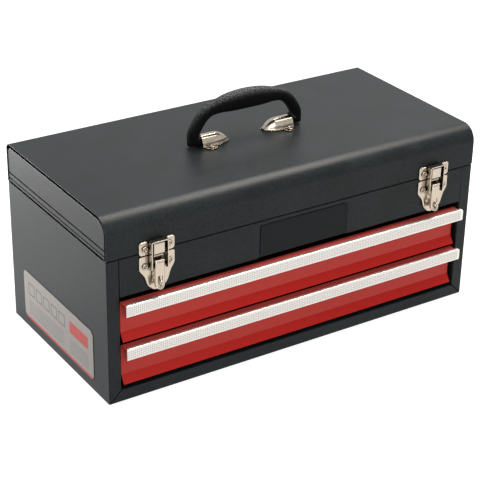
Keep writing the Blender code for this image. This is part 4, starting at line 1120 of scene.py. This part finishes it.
def grip_piece():
    """Moulded grip: a swollen middle with a fuller underside, slim legs, and feet that turn inwards."""
    span, rise = 72.4, 39.9
    leg, middle, foot, corner_round = 7.0, 11.2, 6.9, 2.2  # radii
    fuller, squareness = 0.12, 2.4  # of the underside in the middle, and of the whole section
    arch = [  # shares of the span, the rise and the swell, up the left half
        (1.0, 0.0, 0.0), (0.996, 0.2, 0.0), (0.935, 0.43, 0.0), (0.84, 0.66, 0.0),
        (0.715, 0.83, 0.04), (0.54, 0.92, 0.34), (0.3, 0.975, 0.84),
    ]
    knots = [(-span * x, HANDLE_Z + rise * z, leg + (middle - leg) * swell) for x, z, swell in arch]
    knots = [*knots, (0, HANDLE_Z + rise, middle), *((-x, z, radius) for x, z, radius in knots[::-1])]
    inner = corners("bracket_right")[1].x + 0.5
    path = [(-inner, HANDLE_Z, foot), *smooth_path(knots, 5), (inner, HANDLE_Z, foot)]
    line = [Vector((x, z)) for x, z, _ in path]
    sides = 44
    rows = []
    for index, (here, (_, _, radius)) in enumerate(zip(line, path)):
        before = line[max(index - 1, 0)]
        after = line[min(index + 1, len(line) - 1)]
        first = (here - before).normalized() if index else (after - here).normalized()
        second = (after - here).normalized() if index < len(line) - 1 else first
        along = (first + second).normalized()
        across = Vector((-along.y, along.x))
        stretch = 1 / max(across.dot(Vector((-first.y, first.x))), 0.5)
        belly = 1 + fuller * (max(radius - leg, 0) / (middle - leg)) ** 2
        row = []
        for side in range(sides):
            angle = 2 * pi * side / sides
            c, s = cos(angle), sin(angle)
            reach = radius * (abs(c) ** squareness + abs(s) ** squareness) ** (-1 / squareness)
            spot = here + across * (reach * stretch * c * (belly if c < 0 else 1))
            row.append((spot.x, reach * s, spot.y))
        rows.append(row)
    bm = net(rows, loop=True, caps=True)
    bm.verts.ensure_lookup_table()
    bends = {1: -1, len(rows) - 2: 1}  # rows of the outer corners, and the side that each is on
    corner = (span + 1) * MM
    edges = []
    for edge in bm.edges:
        index = {vert.index // sides for vert in edge.verts}
        row = index.pop()
        if not index and row in bends and all(vert.co.x * bends[row] > corner for vert in edge.verts):
            edges.append(edge)
    bmesh.ops.bevel(bm, geom=edges, offset=corner_round * MM, segments=5, profile=0.5, affect="EDGES")
    add_piece("handle_grip", bm)


class ToolBoxOperator(bpy.types.Operator):
    """Base of the operators that add pieces."""

    bl_options = {"REGISTER", "UNDO"}


class OBJECT_OT_tool_box_case(ToolBoxOperator):
    """Adds the case: its folded sheets, the recessed panel with its blank plate and the side label"""

    bl_idname = "object.tool_box_case"
    bl_label = "Case"

    def execute(self, context):
        case_sheet()
        base_sheet()
        till_panel()
        side_film()
        return {"FINISHED"}


class OBJECT_OT_tool_box_drawers(ToolBoxOperator):
    """Adds both drawers with their fronts, pull strips and trays"""

    bl_idname = "object.tool_box_drawers"
    bl_label = "Drawers"

    def execute(self, context):
        for label in ("lower", "upper"):
            drawer(label)
        return {"FINISHED"}


class OBJECT_OT_tool_box_lid(ToolBoxOperator):
    """Adds the lid: its rounded sheet and the recessed end panels"""

    bl_idname = "object.tool_box_lid"
    bl_label = "Lid"

    def execute(self, context):
        lid_sheet()
        for name, side in SIDES:
            lid_end(name, side)
        return {"FINISHED"}


class OBJECT_OT_tool_box_hinge(ToolBoxOperator):
    """Adds the two leaves of the full-length hinge"""

    bl_idname = "object.tool_box_hinge"
    bl_label = "Hinge"

    def execute(self, context):
        hinge_leaf("hinge_leaf_case", 1, 0)
        hinge_leaf("hinge_leaf_lid", -1, 1)
        return {"FINISHED"}


class OBJECT_OT_tool_box_latches(ToolBoxOperator):
    """Adds both draw latches with their rivets and pins"""

    bl_idname = "object.tool_box_latches"
    bl_label = "Latches"

    def execute(self, context):
        for name, side in SIDES:
            latch(name, side)
        return {"FINISHED"}


class OBJECT_OT_tool_box_handle(ToolBoxOperator):
    """Adds the grip and the riveted brackets of the carry handle"""

    bl_idname = "object.tool_box_handle"
    bl_label = "Handle"

    def execute(self, context):
        grip_piece()
        for name, side in SIDES:
            bracket(name, side)
        return {"FINISHED"}


class OBJECT_OT_tool_box_inner(ToolBoxOperator):
    """Gives the solids that stay, such as slides and stiffeners, their finish and softer edges"""

    bl_idname = "object.tool_box_inner"
    bl_label = "Inner parts"

    def execute(self, context):
        for node, obj in frame["nodes"].items():
            if not obj.hide_render:
                obj.data.materials[0] = finish_of(SLOTS[node])
                round_edges(obj, 0.15, angle=50)
        return {"FINISHED"}


class OBJECT_OT_tool_box_stage(ToolBoxOperator):
    """Adds the floor, the world, the lamps and the camera"""

    bl_idname = "object.tool_box_stage"
    bl_label = "Stage"

    def execute(self, context):
        add_floor()
        add_world()
        add_lamps(context.scene.tool_box_studio)
        add_camera(context.scene.tool_box_studio)
        context.scene.view_settings.view_transform = "Standard"
        return {"FINISHED"}


def add_floor():
    """Pale floor that shows white to the camera and in reflections, and keeps the shadow."""
    half_size, brightness, matt_grey = 6, 0.84, (0.3, 0.3, 0.3)
    bm = bmesh.new()
    bmesh.ops.create_grid(bm, x_segments=8, y_segments=8, size=half_size)
    mesh = bpy.data.meshes.new("floor")
    bm.to_mesh(mesh)
    bm.free()
    finish = Finish("pale_floor")
    matt = finish.node("ShaderNodeBsdfDiffuse", sockets={"Color": matt_grey})
    strength = finish.seen_directly() * brightness
    glow = finish.node("ShaderNodeEmission", sockets={"Color": (1, 1, 1), "Strength": strength})
    both = finish.node("ShaderNodeAddShader", sockets={0: matt, 1: glow})
    finish.node("ShaderNodeOutputMaterial", sockets={"Surface": both})
    mesh.materials.append(finish.material)
    floor = add_object("floor", mesh)


def add_world():
    """White to the camera and in reflections, a softer grey as light."""
    world = bpy.data.worlds.new("studio")
    bpy.context.scene.world = world
    studio = Nodes(world)
    light = studio.node("ShaderNodeBackground", sockets={"Color": (0.95, 0.97, 1), "Strength": 0.3})
    white = studio.node("ShaderNodeBackground", sockets={"Color": (1, 1, 1), "Strength": 1.0})
    both = studio.node("ShaderNodeMixShader", sockets={0: studio.seen_directly(), 1: light, 2: white})
    studio.node("ShaderNodeOutputWorld", sockets={"Surface": both})


LAMPS = {
    # name: place, width and height, power, colour
    "side_strip": ((-0.75, 0.95, 0.13), (0.9, 0.22), 24, (1, 0.98, 0.985)),
    "over_right": ((0.68, 0.15, 1.9), (1.2, 1.2), 70, (1, 0.95, 0.89)),
    "front": ((-0.5, -2.0, 0.95), (1.0, 1.0), 25, (1, 0.98, 0.96)),
}


def add_lamps(studio):
    """Area lamps that all point at the middle of the box."""
    target = Vector((0, 0, 0.12))
    for name, (place, (width, height), power, colour) in LAMPS.items():
        data = bpy.data.lights.new(name, "AREA")
        data.shape = "RECTANGLE"
        data.size, data.size_y = width, height
        data.energy = power * studio.lamps
        data.color = colour
        lamp = add_object(name, data)
        lamp.location = place
        lamp.rotation_euler = (target - Vector(place)).to_track_quat("-Z", "Y").to_euler()


def add_camera(studio):
    """Camera at the photograph's viewing angle."""
    yaw, pitch, roll = studio.yaw, studio.pitch, studio.roll
    ahead = Vector((sin(yaw) * cos(pitch), cos(yaw) * cos(pitch), -sin(pitch)))
    right = ahead.cross(UPWARDS).normalized()
    above = right.cross(ahead)
    turned_right = right * cos(roll) + above * sin(roll)
    turned_up = above * cos(roll) - right * sin(roll)
    data = bpy.data.cameras.new("camera")
    data.lens = studio.lens / MM
    data.sensor_width = 36
    camera = add_object("camera", data)
    axes = Matrix((turned_right, turned_up, -ahead)).transposed().to_4x4()
    camera.matrix_world = Matrix.Translation(studio.place) @ axes
    bpy.context.scene.camera = camera


class VIEW3D_PT_tool_box(bpy.types.Panel):
    """Lists the steps, the sizes, the colours and the studio"""

    bl_label = "Tool box"
    bl_space_type = "VIEW_3D"
    bl_region_type = "UI"
    bl_category = "Tool box"

    def draw(self, context):
        column = self.layout.column(align=True)
        for operator in OPERATORS:
            column.operator(operator.bl_idname)
        for group_name in GROUPS:
            group = getattr(context.scene, group_name)
            column = self.layout.column(align=True)
            for name in group.bl_rna.properties.keys():
                if name not in ("rna_type", "name"):
                    column.prop(group, name)


GROUPS = {
    "tool_box_sizes": ToolBoxSizes,
    "tool_box_colours": ToolBoxColours,
    "tool_box_studio": ToolBoxStudio,
}
OPERATORS = (
    OBJECT_OT_tool_box_case, OBJECT_OT_tool_box_drawers, OBJECT_OT_tool_box_lid, OBJECT_OT_tool_box_hinge,
    OBJECT_OT_tool_box_latches, OBJECT_OT_tool_box_handle, OBJECT_OT_tool_box_inner, OBJECT_OT_tool_box_stage,
)


def register():
    for group in (*GROUPS.values(), *OPERATORS, VIEW3D_PT_tool_box):
        bpy.utils.register_class(group)
    for name, group in GROUPS.items():
        setattr(bpy.types.Scene, name, PointerProperty(type=group))


def unregister():
    for name in GROUPS:
        delattr(bpy.types.Scene, name)
    for group in (VIEW3D_PT_tool_box, *OPERATORS[::-1], *GROUPS.values()):
        bpy.utils.unregister_class(group)


def main():
    register()
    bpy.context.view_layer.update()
    for operator in OPERATORS:
        getattr(bpy.ops.object, operator.bl_idname.split(".")[1])()


if __name__ == "__main__":
    main()
